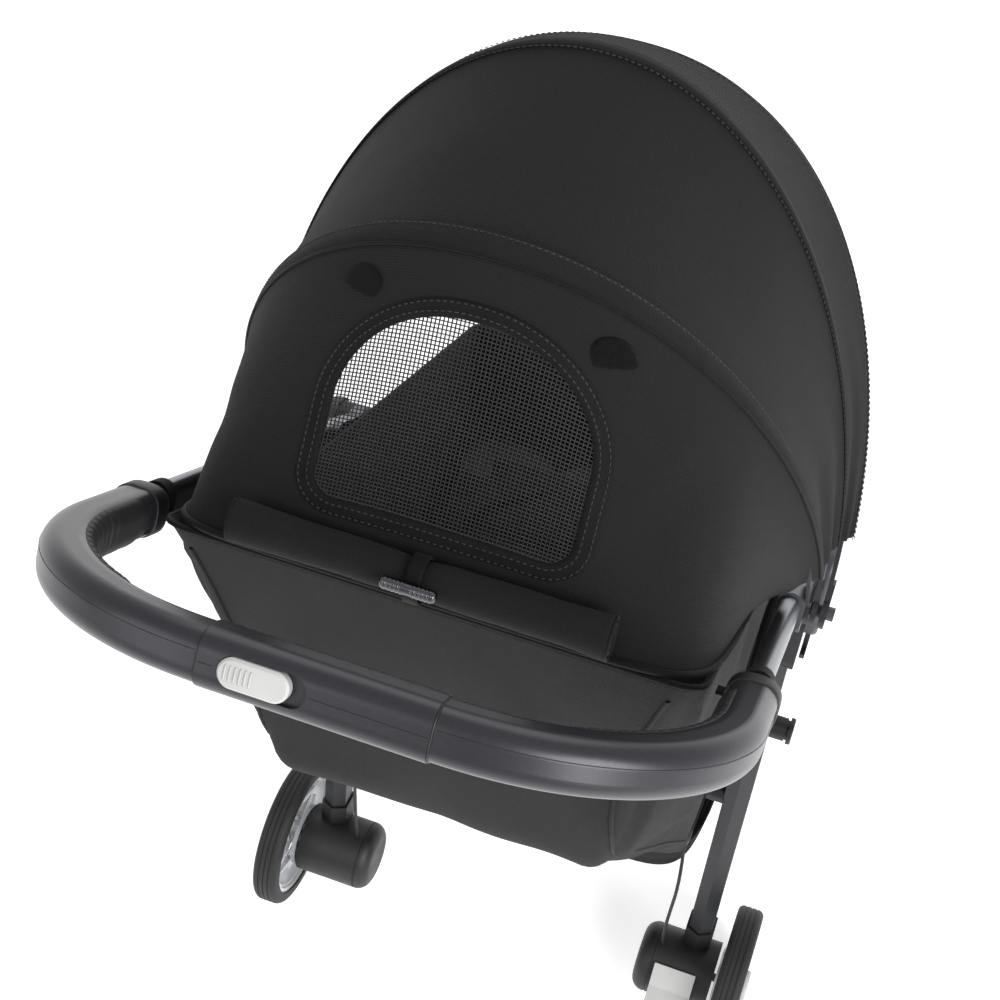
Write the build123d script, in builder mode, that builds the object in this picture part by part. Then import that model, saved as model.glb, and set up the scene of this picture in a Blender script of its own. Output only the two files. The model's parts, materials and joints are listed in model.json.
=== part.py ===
"""Folding pet stroller: one-hand handle, hooded cabin with a rear mesh window, braked rear wheels, front casters.

Frame: +Z up, the front of the stroller toward -Y, the left side (of the person pushing) toward +X.
The origin is on the ground under the middle of the bounding box. All lengths are in millimetres.
"""
import os
from math import cos, pi, radians, sin, tan

from build123d import *

os.makedirs("parts", exist_ok=True)

# ---------------------------------------------------------------- driving dimensions
rear_axle_y = 184.1        # rear axle, behind the origin
rear_wheel_r = 74.5
rear_tyre_w = 25.0
rear_track_half = 229.0    # tyre centre from the centre plane
front_wheel_r = 65.0
front_tyre_w = 24.0
caster_trail = 32.0

main_hinge_y = rear_axle_y - 189.0
main_hinge_z = 567.0
handle_angle = 47.2        # handle tubes above the horizontal, rising backward
rear_leg_angle = 289.5     # rear legs, measured from +Y toward +Z
front_leg_angle = handle_angle + 180.0
leg_x = 188.0              # centre of both legs on each side
handle_tube_x = 192.5
handle_reach = 577.0       # main hinge to the middle of the handlebar, along the tube
collar_reach = handle_reach - 196.0

bore_gap = 0.06            # radial clearance of every running fit
layer_gap = 0.4            # side clearance between turning plates

canopy_y = rear_axle_y - 95.0
canopy_z = 668.0
cloth_start = 60.0         # the cloth is open between the pivots and this reach
fabric = 2.5               # thickness of the canopy cloth and its lining
hoop_w = 10.0
hoop_t = 3.0
hoop_gap = 2.4             # from the lining to the hoop
# each canopy arch: angle about the pivot axis from +Y toward +Z, half width, height and squareness
seam_arch = (49.5, 168.0, 289.0, 9.0)
rear_arch = (81.0, 209.0, 377.0, 2.08)
mid_arch = (111.0, 214.0, 370.0, 2.02)
front_arch = (126.0, 221.0, 350.0, 2.2)
hem_arch = (129.5, 221.0, 344.0, 2.2)

cabin_x = 167.0            # outside of the cabin's side cloth
cloth = 3.0
rim_front = (main_hinge_y - 214.0, 450.0)
floor_front = (main_hinge_y - 169.0, 352.0)
floor_rear = (main_hinge_y + 189.0, 352.0)
bag_corner = (main_hinge_y + 309.0, 600.0)
rim_rear = (main_hinge_y + 281.0, 880.0)
rim_middle = (main_hinge_y + 134.0, 711.0)
bag_corner_x = 127.0


# ---------------------------------------------------------------- helpers
def point_at(angle, reach, y0=main_hinge_y, z0=main_hinge_z):
    """Point (y, z) at a distance from the main hinge, or from another side-view point."""
    return (y0 + reach * cos(radians(angle)), z0 + reach * sin(radians(angle)))


def plane_along(x, angle, reach):
    """Plane square to a line from the main hinge, with its first direction along +X."""
    y, z = point_at(angle, reach)
    return Plane(origin=(x, y, z), x_dir=(1, 0, 0), z_dir=(0, cos(radians(angle)), sin(radians(angle))))


def side_plane(x, y=0.0, z=0.0):
    """Side-view plane facing +X, whose first direction is +Y."""
    return Plane(origin=(x, y, z), x_dir=(0, 1, 0), z_dir=(1, 0, 0))


def layer(side, inner, outer):
    """Lower x of a plate between two distances from the centre plane, on one side."""
    return inner if side > 0 else -outer


def arch_points(arch, inset, r_min, count=28):
    """Points of half-round arch (x, r), inset evenly, open below r_min."""
    _, a, b, n = arch
    a, b = a - inset, b - inset
    first = (r_min / b) ** (n / 2)
    start = sin_inverse(first)
    points = []
    for i in range(count + 1):
        t = start + (pi - 2 * start) * i / count
        c = cos(t)
        x = a * (1 if c > 0 else -1) * abs(c) ** (2 / n)
        points.append((x, b * sin(t) ** (2 / n)))
    return points


def sin_inverse(value):
    """Angle in radians whose sine is value, by halving the interval."""
    low, high = 0.0, pi / 2
    for _ in range(50):
        mid = (low + high) / 2
        if sin(mid) < value:
            low = mid
        else:
            high = mid
    return low


def arch_plane(angle):
    """Plane through the canopy pivot axis, whose second direction leans at the angle."""
    a = radians(angle)
    return Plane(origin=(0, canopy_y, canopy_z), x_dir=(1, 0, 0), z_dir=(0, -sin(a), cos(a)))


def arch_between(first, second, share):
    """Arch at a share of the way from one arch to another."""
    return tuple(p + (q - p) * share for p, q in zip(first, second))


def arch_band(plane, arch, outer_inset, inner_inset):
    """Thin closed arch profile between two insets."""
    outer = arch_points(arch, outer_inset, cloth_start)
    inner = arch_points(arch, inner_inset, cloth_start)
    with BuildSketch(plane) as band:
        with BuildLine():
            Spline(*outer)
            Line(outer[-1], inner[-1])
            Spline(*inner[::-1])
            Line(inner[0], outer[0])
        make_face()
    return band.sketch


def panel_plane(a, b, c):
    """Plane through three points, with its first direction from a to b."""
    first = Vector(*b) - Vector(*a)
    second = Vector(*c) - Vector(*a)
    return Plane(origin=a, x_dir=first, z_dir=first.cross(second))


def finish(builder, label):
    """Label a finished sub-part and write its STEP file."""
    builder.part.label = label
    export_step(builder.part, f"parts/{label}.step")


# ---------------------------------------------------------------- main hinge layers, as distances from the centre plane
front_layer = (174.0, 183.0)
handle_layer = (front_layer[1] + layer_gap, 193.2)
rear_layer = (handle_layer[1] + layer_gap, 203.2)
cap_layer = (rear_layer[1] + layer_gap, 213.5)
hinge_pin_r = 5.0
leg_start = 78.0
leg_w = 22.0
leg_d = 30.0


def leg_outline(width, depth, ridge):
    """Leg section with a ridge along its front and back."""
    return [
        (-width / 2, -depth / 2 + ridge), (0, -depth / 2), (width / 2, -depth / 2 + ridge),
        (width / 2, depth / 2 - ridge), (0, depth / 2), (-width / 2, depth / 2 - ridge),
    ]


def leg(side, angle, end, plate_layer, label, cut=None):
    """Ridged leg tube with the flat hinge plate that is riveted into its top."""
    plate_x = layer(side, *plate_layer)
    plate_t = plate_layer[1] - plate_layer[0]
    with BuildPart() as tube:
        with BuildSketch(plane_along(side * leg_x, angle, leg_start)):
            Polygon(*leg_outline(leg_w, leg_d, 6.0), align=None)
            Polygon(*leg_outline(leg_w - 4, leg_d - 4.6, 5.0), align=None, mode=Mode.SUBTRACT)
        extrude(amount=end - leg_start)
        with BuildSketch(side_plane(plate_x, main_hinge_y, main_hinge_z)):
            with Locations(Rotation(0, 0, angle) * Pos(48, 0)):
                SlotCenterToCenter(96, 30)
            Circle(18)
            Circle(hinge_pin_r + bore_gap, mode=Mode.SUBTRACT)
        extrude(amount=plate_t)
        if cut is not None:
            with BuildSketch(cut[0]):
                Circle(cut[1])
            extrude(amount=cut[2], mode=Mode.SUBTRACT)
    finish(tube, label)


# ---------------------------------------------------------------- front legs and caster sockets
swivel_y = main_hinge_y - 367.0
wheel_centre_y = swivel_y + caster_trail
crown_z = front_wheel_r * 2 + 2.0
crown_t = 7.0
socket_z = crown_z + crown_t + 0.6
socket_h = 52.0
socket_r = 17.0
stem_r = 6.0
front_leg_end = 528.0

for side, name in ((1, "left"), (-1, "right")):
    swivel_plane = Plane(origin=(side * leg_x, swivel_y, socket_z))
    leg(side, front_leg_angle, front_leg_end, front_layer, f"front_leg_{name}",
        cut=(swivel_plane, socket_r, socket_h))

    with BuildPart() as caster_socket:
        with BuildSketch(swivel_plane):
            Circle(socket_r)
        extrude(amount=socket_h)
        fillet(caster_socket.faces().sort_by(Axis.Z)[-1].edges(), 5)
        with BuildSketch(swivel_plane):
            Circle(stem_r + bore_gap)
        extrude(amount=socket_h - 8, mode=Mode.SUBTRACT)
    finish(caster_socket, f"caster_socket_{name}")

with BuildPart() as front_cross_tube:
    cross_y, cross_z = point_at(front_leg_angle, 430.0)
    with BuildSketch(side_plane(-leg_x + leg_w / 2, cross_y, cross_z)):
        Circle(10)
        Circle(8.4, mode=Mode.SUBTRACT)
    extrude(amount=2 * leg_x - leg_w)
finish(front_cross_tube, "front_cross_tube")

# ---------------------------------------------------------------- rear legs, their cross tube and the accessory stud
rear_leg_end = 470.0
for side, name in ((1, "left"), (-1, "right")):
    leg(side, rear_leg_angle, rear_leg_end, rear_layer, f"rear_leg_{name}")

with BuildPart() as rear_cross_tube:
    cross_y, cross_z = point_at(rear_leg_angle, 285.0)
    with BuildSketch(side_plane(-leg_x + leg_w / 2, cross_y, cross_z)):
        Circle(10)
        Circle(8.4, mode=Mode.SUBTRACT)
    extrude(amount=2 * leg_x - leg_w)
finish(rear_cross_tube, "rear_cross_tube")

stud_r = 10.0
stud_length = 13.0
with BuildPart() as accessory_stud:
    stud_y, stud_z = point_at(rear_leg_angle, 186.0)
    stud_x = -leg_x - leg_w / 2
    with BuildSketch(side_plane(stud_x - stud_length, stud_y, stud_z)):
        Circle(stud_r)
    extrude(amount=stud_length)
    with BuildSketch(side_plane(stud_x - stud_length - 2, stud_y, stud_z)):
        Circle(stud_r - 1.5)
    extrude(amount=2)
    with BuildSketch(side_plane(stud_x - stud_length - 6, stud_y, stud_z)):
        Circle(stud_r + 1.5)
    extrude(amount=4)
    chamfer(accessory_stud.faces().sort_by(Axis.X)[0].edges(), 1)
finish(accessory_stud, "accessory_stud")

# ---------------------------------------------------------------- main hinge pins, housings and the latch hook
with BuildPart() as hinge_pins:
    for side in (1, -1):
        with BuildSketch(side_plane(layer(side, 172.0, 211.0), main_hinge_y, main_hinge_z)):
            Circle(hinge_pin_r)
        extrude(amount=39)
finish(hinge_pins, "hinge_pins")

housing_reach = 46.0
hook_reach = 58.0          # latch hook pivot, down the rear leg
hook_recess_r = 14.0
for side, name in ((1, "left"), (-1, "right")):
    with BuildPart() as hinge_housing:
        with BuildSketch(side_plane(layer(side, *cap_layer), main_hinge_y, main_hinge_z)):
            with Locations(Rotation(0, 0, rear_leg_angle) * Pos(housing_reach / 2, 0)):
                SlotCenterToCenter(housing_reach, 40)
        extrude(amount=cap_layer[1] - cap_layer[0])
        outer = hinge_housing.faces().sort_by(Axis.X)[-1 if side > 0 else 0]
        fillet(outer.edges(), 4)
        with BuildSketch(side_plane(layer(side, 200.0, 211.0), main_hinge_y, main_hinge_z)):
            Circle(hinge_pin_r)
        extrude(amount=11, mode=Mode.SUBTRACT)
        if side < 0:
            hook_y, hook_z = point_at(rear_leg_angle, hook_reach)
            with BuildSketch(side_plane(-cap_layer[1] - 1, hook_y, hook_z)):
                Circle(2.5)
            extrude(amount=12, mode=Mode.SUBTRACT)
            with BuildSketch(side_plane(-209.5, hook_y, hook_z)):
                Circle(hook_recess_r)
            extrude(amount=4.7, mode=Mode.SUBTRACT)
    finish(hinge_housing, f"hinge_housing_{name}")

with BuildPart() as fold_latch_hook:
    hook_y, hook_z = point_at(rear_leg_angle, hook_reach)
    with BuildSketch(side_plane(-209.2, hook_y, hook_z)):
        with Locations(Rotation(0, 0, rear_leg_angle) * Pos(13, 0)):
            SlotCenterToCenter(26, 12)
        with Locations(Rotation(0, 0, rear_leg_angle)):
            Polygon((20, -6), (38, -2), (30, 14), (24, 16), (26, 6), align=None)
    extrude(amount=4.1)
    with BuildSketch(side_plane(-212.5, hook_y, hook_z)):
        Circle(2.5 - bore_gap)
    extrude(amount=5)
finish(fold_latch_hook, "fold_latch_hook")

# ---------------------------------------------------------------- brake housings, pedal, pins and cable
drum_r = 34.0
drum_in = 138.0
drum_out = 212.0
rear_bore_r = 4.0
pin_orbit = 24.0
brake_pin_r = 3.0

for side, name in ((1, "left"), (-1, "right")):
    with BuildPart() as brake_housing:
        with BuildSketch(side_plane(layer(side, drum_in, drum_out), rear_axle_y, rear_wheel_r)):
            Circle(drum_r)
        extrude(amount=drum_out - drum_in)
        inner = brake_housing.faces().filter_by(GeomType.PLANE).sort_by(Axis.X)[0 if side > 0 else -1]
        fillet(inner.edges(), 13)
        with BuildSketch(plane_along(side * leg_x, rear_leg_angle, rear_leg_end)):
            Polygon(*leg_outline(leg_w + 4, leg_d + 4, 6.5), align=None)
        extrude(amount=38)
        with BuildSketch(side_plane(layer(side, 165.0, drum_out), rear_axle_y, rear_wheel_r)):
            Circle(rear_bore_r + bore_gap)
        extrude(amount=drum_out - 165.0, mode=Mode.SUBTRACT)
        with BuildSketch(side_plane(layer(side, 180.0, drum_out), rear_axle_y, rear_wheel_r + pin_orbit)):
            Circle(brake_pin_r + bore_gap)
        extrude(amount=drum_out - 180.0, mode=Mode.SUBTRACT)
        with BuildSketch(side_plane(layer(side, 150.0, 153.4), rear_axle_y, rear_wheel_r)):
            Circle(drum_r + 1)
            Circle(drum_r - 0.8, mode=Mode.SUBTRACT)
        extrude(amount=1.2, mode=Mode.SUBTRACT)
    finish(brake_housing, f"brake_housing_{name}")

    with BuildPart() as brake_pin:
        with BuildSketch(side_plane(layer(side, 186.0, 211.5), rear_axle_y, rear_wheel_r + pin_orbit)):
            Circle(brake_pin_r)
        extrude(amount=25.5)
        chamfer(brake_pin.faces().sort_by(Axis.X)[-1 if side > 0 else 0].edges(), 0.6)
    finish(brake_pin, f"brake_pin_{name}")

pedal_in = 157.0
pedal_w = 40.0
with BuildPart() as brake_pedal:
    with BuildSketch(side_plane(-pedal_in - pedal_w, rear_axle_y, rear_wheel_r)):
        with BuildLine():
            low, high = 14.0, 66.0
            CenterArc((0, 0), drum_r + 0.5, low, high - low)
            Line(point_at(high, drum_r + 0.5, 0, 0), point_at(high, drum_r + 5, 0, 0))
            CenterArc((0, 0), drum_r + 5, low, high - low)
            Line(point_at(low, drum_r + 0.5, 0, 0), point_at(low, drum_r + 5, 0, 0))
        make_face()
        Polygon(point_at(15, drum_r + 3, 0, 0), point_at(4, 66, 0, 0), point_at(10, 67, 0, 0),
                point_at(34, drum_r + 3, 0, 0), align=None)
    extrude(amount=pedal_w)
finish(brake_pedal, "brake_pedal")

cable_r = 1.6
with BuildPart() as brake_cable:
    cross_y, cross_z = point_at(rear_leg_angle, 285.0)
    drum_top = rear_wheel_r + drum_r - 1.0
    cable_y = rear_axle_y - 4
    route = [
        (-158, cable_y, drum_top), (-157, cable_y - 4, 150), (-160, cable_y - 26, 222),
        (-150, cross_y + 18, 266), (-112, cross_y + 16, 278), (-40, cross_y + 14, 279),
        (40, cross_y + 14, 278), (112, cross_y + 16, 279), (150, cross_y + 18, 266),
        (160, cable_y - 26, 222), (157, cable_y - 4, 150), (158, cable_y, drum_top),
    ]
    with BuildLine() as cable_line:
        corners = len(route) - 2
        radii = []
        for i in range(1, corners + 1):
            before = Vector(*route[i]) - Vector(*route[i - 1])
            after = Vector(*route[i + 1]) - Vector(*route[i])
            turn = before.get_angle(after)
            radii.append(0.45 * min(before.length, after.length) / tan(radians(turn / 2)))
        FilletPolyline(*route, radius=radii)
    with BuildSketch(Plane(origin=route[0], z_dir=Vector(*route[1]) - Vector(*route[0]))):
        Circle(cable_r)
    sweep(path=cable_line.line)
print("cable bend radii", [round(r) for r in radii])
finish(brake_cable, "brake_cable")


# ---------------------------------------------------------------- wheels
def ring_plane(x, y, z):
    """Plane through the wheel's axis: first direction +X, second +Z."""
    return Plane(origin=(x, y, z), x_dir=(1, 0, 0), z_dir=(0, -1, 0))


tyre_shoulder = 6.0        # rounding of the tread's edges


def tyre(x, y, radius, width, seat, label):
    """Solid polyurethane tyre with three shallow grooves around its tread."""
    axis = Axis((x, y, radius), (1, 0, 0))
    with BuildPart() as ring:
        with BuildSketch(ring_plane(x, y, radius)) as section:
            with Locations((0, (radius + seat) / 2)):
                Rectangle(width, radius - seat)
            fillet(section.vertices().sort_by(Axis.Y)[-2:], tyre_shoulder)
        revolve(axis=axis)
        with BuildSketch(ring_plane(x, y, radius)):
            for offset_x in (-5, 0, 5):
                with Locations((offset_x, radius)):
                    Rectangle(1.0, 1.6)
        revolve(axis=axis, mode=Mode.SUBTRACT)
    finish(ring, label)


def rim(side, x, y, radius, seat, width, bore, brake_ring, label):
    """Spoked rim: hub, five pairs of spokes, outer ring and, on a braked wheel, a ring of pin holes."""
    axis = Axis((x, y, radius), (1, 0, 0))
    hub_r = 13.0
    with BuildPart() as wheel:
        with BuildSketch(ring_plane(x, y, radius)):
            with Locations((0, seat - 2)):
                Rectangle(width - 3, 4)
            with Locations((0, seat - 5)):
                Rectangle(width - 9, 4)
            with Locations((0, hub_r / 2)):
                Rectangle(width, hub_r)
        revolve(axis=axis)
        with BuildSketch(side_plane(x - 3, y, radius)):
            for i in range(5):
                for lean in (-9, 9):
                    start = point_at(72 * i + 90 - lean * 0.5, hub_r - 2, 0, 0)
                    end = point_at(72 * i + 90 + lean * 1.6, seat - 4, 0, 0)
                    spoke = Vector(*end) - Vector(*start)
                    turn = Vector(1, 0).get_signed_angle(spoke)
                    middle = ((start[0] + end[0]) / 2, (start[1] + end[1]) / 2)
                    with Locations(Pos(*middle) * Rotation(0, 0, turn)):
                        Rectangle(spoke.length, 5)
        extrude(amount=6)
        if brake_ring:
            ring_x = layer(side, abs(x) - width / 2 - 2.5, abs(x) - width / 2 + 2)
            with BuildSketch(side_plane(ring_x, y, radius)):
                Circle(pin_orbit + 7)
                with PolarLocations(pin_orbit, 12):
                    Circle(brake_pin_r + 0.6, mode=Mode.SUBTRACT)
            extrude(amount=4.5)
        with BuildSketch(side_plane(x - width, y, radius)):
            Circle(bore)
        extrude(amount=2 * width, mode=Mode.SUBTRACT)
    finish(wheel, label)


rear_seat = 62.0
front_seat = 53.0
for side, name in ((1, "left"), (-1, "right")):
    x = side * rear_track_half
    tyre(x, rear_axle_y, rear_wheel_r, rear_tyre_w, rear_seat, f"rear_tyre_{name}")
    rim(side, x, rear_axle_y, rear_wheel_r, rear_seat, 24.0, rear_bore_r, True, f"rear_rim_{name}")

    with BuildPart() as rear_hub_cap:
        face = abs(x) + 12.0
        with BuildSketch(side_plane(layer(side, face, face + 5), rear_axle_y, rear_wheel_r)):
            Circle(17)
        extrude(amount=5)
        fillet(rear_hub_cap.faces().sort_by(Axis.X)[-1 if side > 0 else 0].edges(), 2.5)
        with BuildSketch(side_plane(layer(side, 168.0, face), rear_axle_y, rear_wheel_r)):
            Circle(rear_bore_r)
        extrude(amount=face - 168.0)
    finish(rear_hub_cap, f"rear_hub_cap_{name}")

    x = side * leg_x
    tyre(x, wheel_centre_y, front_wheel_r, front_tyre_w, front_seat, f"front_tyre_{name}")
    rim(side, x, wheel_centre_y, front_wheel_r, front_seat, 23.0, 4.0 + bore_gap, False, f"front_rim_{name}")

    with BuildPart() as caster_fork:
        with BuildSketch(Plane(origin=(x, 0, crown_z))):
            with Locations((0, (swivel_y + wheel_centre_y) / 2 - 2)):
                RectangleRounded(40, caster_trail + 30, 12)
        extrude(amount=crown_t)
        with BuildSketch(Plane(origin=(x, swivel_y, crown_z))):
            Circle(stem_r)
        extrude(amount=crown_t + socket_h - 12)
        for arm_x in (-20.0, 14.5):
            with BuildSketch(side_plane(x + arm_x)):
                with BuildLine():
                    Polyline((swivel_y - 14, crown_z + 3), (wheel_centre_y + 10, crown_z + 3),
                             (wheel_centre_y + 9, front_wheel_r), (wheel_centre_y - 8, front_wheel_r - 5),
                             (swivel_y - 14, crown_z - 8), close=True)
                make_face()
                with Locations((wheel_centre_y, front_wheel_r)):
                    Circle(10)
            extrude(amount=5.5)
        with BuildSketch(side_plane(x - 16, wheel_centre_y, front_wheel_r)):
            Circle(4)
        extrude(amount=32)
    finish(caster_fork, f"caster_fork_{name}")

# ---------------------------------------------------------------- handle
handle_centre_y, handle_centre_z = point_at(handle_angle, handle_reach)
slope = radians(handle_angle)
# local directions: first +X, second up the slope (away from the hinge), normal up and forward
off_slope = (0, -sin(slope), cos(slope))
handle_plane = Plane(origin=(0, handle_centre_y, handle_centre_z), x_dir=(1, 0, 0), z_dir=off_slope)
centre_half = 61.0
bend_1_r, bend_1 = 140.0, 8.0
bend_2 = 90.0 - bend_1
bend_2_r = (handle_tube_x - centre_half - 2.0 - bend_1_r * sin(radians(bend_1))) / (1 - sin(radians(bend_1)))
grip_arm = 66.3            # straight end of each grip, over its tube
grip_w = 30.0

for side, name in ((1, "left"), (-1, "right")):
    with BuildPart() as handle_tube:
        with BuildSketch(plane_along(side * handle_tube_x, handle_angle, 30.0)):
            SlotOverall(24, 14, rotation=90)
            SlotOverall(20.8, 10.8, rotation=90, mode=Mode.SUBTRACT)
        extrude(amount=collar_reach + 36 - 30)
        with BuildSketch(side_plane(layer(side, *handle_layer), main_hinge_y, main_hinge_z)):
            with Locations(Rotation(0, 0, handle_angle) * Pos(27, 0)):
                SlotCenterToCenter(54, 24)
            Circle(18)
            Circle(hinge_pin_r + bore_gap, mode=Mode.SUBTRACT)
        extrude(amount=handle_layer[1] - handle_layer[0])
    finish(handle_tube, f"handle_tube_{name}")

    with BuildLine(handle_plane) as grip_line:
        first = Line((side * centre_half, 0), (side * (centre_half + 2), 0))
        second = JernArc(first @ 1, first % 1, bend_1_r, -side * bend_1)
        third = JernArc(second @ 1, second % 1, bend_2_r, -side * bend_2)
        last = Line(third @ 1, (third @ 1) + (third % 1) * grip_arm)
    with BuildLine(handle_plane) as pad_line:
        add(third)
        Line(third @ 1, (third @ 1) + (third % 1) * (grip_arm - 16))
    start_plane = Plane(origin=grip_line.line @ 0, x_dir=off_slope, z_dir=(side, 0, 0))
    pad_plane = Plane(origin=third @ 0, x_dir=off_slope, z_dir=third % 0)
    pad_side = -1 if (pad_plane.y_dir.Z > 0) else 1

    with BuildPart() as grip_pad:
        with BuildSketch(pad_plane):
            with Locations((0, pad_side * (grip_w / 2 - 0.6))):
                RectangleRounded(20, 4.2, 1.2)
        sweep(path=pad_line.line)
    finish(grip_pad, f"grip_pad_{name}")

    with BuildPart() as grip_shell:
        with BuildSketch(start_plane):
            RectangleRounded(grip_w, grip_w, 11)
            RectangleRounded(25, 17, 6, mode=Mode.SUBTRACT)
        sweep(path=grip_line.line)
        add(grip_pad.part, mode=Mode.SUBTRACT)
    finish(grip_shell, f"grip_shell_{name}")
    print("grip end", name, (last @ 1), "tube x", handle_tube_x)

centre_w = 32.0
button_x = 30.0
button_l = 38.0
button_w = 16.0
button_travel = 8.0
trigger_l = 62.0
trigger_w = 14.0
trigger_travel = 5.0
section_plane = Plane(origin=handle_plane.origin + Vector(-centre_half + 0.3, 0, 0), x_dir=off_slope,
                      z_dir=(1, 0, 0))
up_slope = Vector(0, cos(slope), sin(slope))


def bar_plane(rise):
    """Plane square to the slope, at a distance up it from the middle of the handlebar."""
    return Plane(origin=handle_plane.origin + up_slope * rise, x_dir=(1, 0, 0), z_dir=up_slope)


for half, name in ((1, "upper"), (-1, "lower")):
    with BuildPart() as handle_centre:
        with BuildSketch(section_plane):
            RectangleRounded(centre_w, centre_w, 11.5)
            RectangleRounded(20, 17, 4, mode=Mode.SUBTRACT)
            with Locations((-half * centre_w / 2, 0)):
                Rectangle(centre_w, 2 * centre_w, mode=Mode.SUBTRACT)
        extrude(amount=2 * centre_half - 0.6)
        with BuildSketch(bar_plane(centre_w / 2 - 4)):
            with Locations((button_x - button_travel / 2, 0)):
                SlotOverall(button_l + button_travel + 1.0, button_w + 1.0)
        extrude(amount=6, mode=Mode.SUBTRACT)
        with BuildSketch(bar_plane(-centre_w / 2 - 2)):
            RectangleRounded(trigger_l + 1.0, trigger_w + 1.0, 5)
        extrude(amount=15, mode=Mode.SUBTRACT)
    finish(handle_centre, f"handle_centre_{name}")

with BuildPart() as slide_button:
    with BuildSketch(bar_plane(centre_w / 2 - 3.6)):
        with Locations((button_x, 0)):
            SlotOverall(button_l, button_w)
    extrude(amount=5.6)
    chamfer(slide_button.faces().filter_by(Plane(origin=(0, 0, 0), z_dir=up_slope)).sort_by(Axis.Z)[-1].edges(), 1.2)
finish(slide_button, "slide_button")

with BuildPart() as fold_trigger:
    with BuildSketch(bar_plane(-centre_w / 2 - 1.5)):
        RectangleRounded(trigger_l, trigger_w, 4.5)
    extrude(amount=7)
finish(fold_trigger, "fold_trigger")

# ---------------------------------------------------------------- canopy clamps, hoops and panels
pivot_r = 5.0
pivot_reach = handle_reach - 439.6
for side, name in ((1, "left"), (-1, "right")):
    with BuildPart() as canopy_clamp:
        with BuildSketch(plane_along(side * handle_tube_x, handle_angle, pivot_reach - 30)):
            SlotOverall(29, 19, rotation=90)
            SlotOverall(24.0, 14.0, rotation=90, mode=Mode.SUBTRACT)
        extrude(amount=64)
        with BuildSketch(side_plane(layer(side, 199.5, 202.3), canopy_y, canopy_z)):
            Circle(19)
        extrude(amount=2.8)
        with BuildSketch(side_plane(layer(side, 202.3, 222.5), canopy_y, canopy_z)):
            Circle(pivot_r)
        extrude(amount=20.2)
    finish(canopy_clamp, f"canopy_clamp_{name}")


def hoop(arch, hub_layer, fixed, label):
    """Flat spring-steel hoop in its sleeve, with an eye at each end for the canopy pivot."""
    with BuildPart() as strip:
        with BuildSketch(arch_plane(arch[0]).offset(-hoop_w / 2)):
            outer = arch_points(arch, fabric + hoop_gap, 10.0)
            inner = arch_points(arch, fabric + hoop_gap + hoop_t, 10.0)
            with BuildLine():
                Spline(*outer)
                Line(outer[-1], inner[-1])
                Spline(*inner[::-1])
                Line(inner[0], outer[0])
            make_face()
        extrude(amount=hoop_w)
        for side in (1, -1):
            with BuildSketch(side_plane(layer(side, *hub_layer), canopy_y, canopy_z)):
                Circle(12)
                with Locations(Rotation(0, 0, arch[0]) * Pos(12, 0)):
                    Rectangle(24, hoop_w)
            extrude(amount=hub_layer[1] - hub_layer[0])
            with BuildSketch(side_plane(layer(side, 195.0, 230.0), canopy_y, canopy_z)):
                Circle(pivot_r if fixed else pivot_r + bore_gap)
            extrude(amount=35, mode=Mode.SUBTRACT)
    finish(strip, label)


hoop(rear_arch, (202.6, 205.6), True, "canopy_rear_hoop")
hoop(mid_arch, (206.6, 210.6), False, "canopy_mid_hoop")
hoop(front_arch, (213.0, 217.6), False, "canopy_front_hoop")

seam_gap = 0.1             # half the gap between neighbouring cloths, degrees
slice_share = seam_gap / 30


def cloth_sector(*arches):
    """Cloth drawn tight over neighbouring arches, as a thin closed solid."""
    with BuildPart() as sector:
        loft(sections=[arch_band(arch_plane(arch[0]), arch, 0, fabric) for arch in arches], ruled=True)
    return sector.part


main_back = arch_between(rear_arch, mid_arch, slice_share)
main_front = arch_between(mid_arch, rear_arch, slice_share)
front_back = arch_between(mid_arch, front_arch, slice_share * 2)
rear_front = arch_between(rear_arch, seam_arch, slice_share)

window_low = 42.0          # window's lower edge above the seam, up the cloth
window_shoulder = 100.0    # where its upright sides end and the top arc starts
window_high = 166.0
window_half = 80.0
window_corner = 14.0
seam_y, seam_z = point_at(seam_arch[0], seam_arch[2], canopy_y, canopy_z)
crown_y, crown_top = point_at(rear_arch[0], rear_arch[2], canopy_y, canopy_z)
window_plane = panel_plane((0, seam_y, seam_z), (100, seam_y, seam_z), (0, crown_y, crown_top))
rear_cloth = cloth_sector(seam_arch, rear_front)

with BuildPart() as window_prism:
    with BuildSketch(window_plane.offset(-45)):
        with BuildLine():
            Polyline((-window_half, window_shoulder), (-window_half, window_low + window_corner),
                     (-window_half + window_corner, window_low), (window_half - window_corner, window_low),
                     (window_half, window_low + window_corner), (window_half, window_shoulder))
            quarter_x = window_half * cos(pi / 4)
            quarter_up = window_shoulder + (window_high - window_shoulder) * sin(pi / 4)
            Spline((window_half, window_shoulder), (quarter_x, quarter_up), (0, window_high),
                   (-quarter_x, quarter_up), (-window_half, window_shoulder), tangents=((0, 1), (0, -1)))
        make_face()
    extrude(amount=90)

with BuildPart() as canopy_rear_panel:
    add(rear_cloth)
    add(window_prism.part, mode=Mode.SUBTRACT)
finish(canopy_rear_panel, "canopy_rear_panel")

with BuildPart() as window_mesh:
    add(rear_cloth)
    add(window_prism.part, mode=Mode.INTERSECT)
finish(window_mesh, "window_mesh")

with BuildPart() as canopy_main_panel:
    add(cloth_sector(main_back, main_front))
finish(canopy_main_panel, "canopy_main_panel")

with BuildPart() as canopy_front_panel:
    add(cloth_sector(front_back, front_arch, hem_arch))
finish(canopy_front_panel, "canopy_front_panel")

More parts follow.
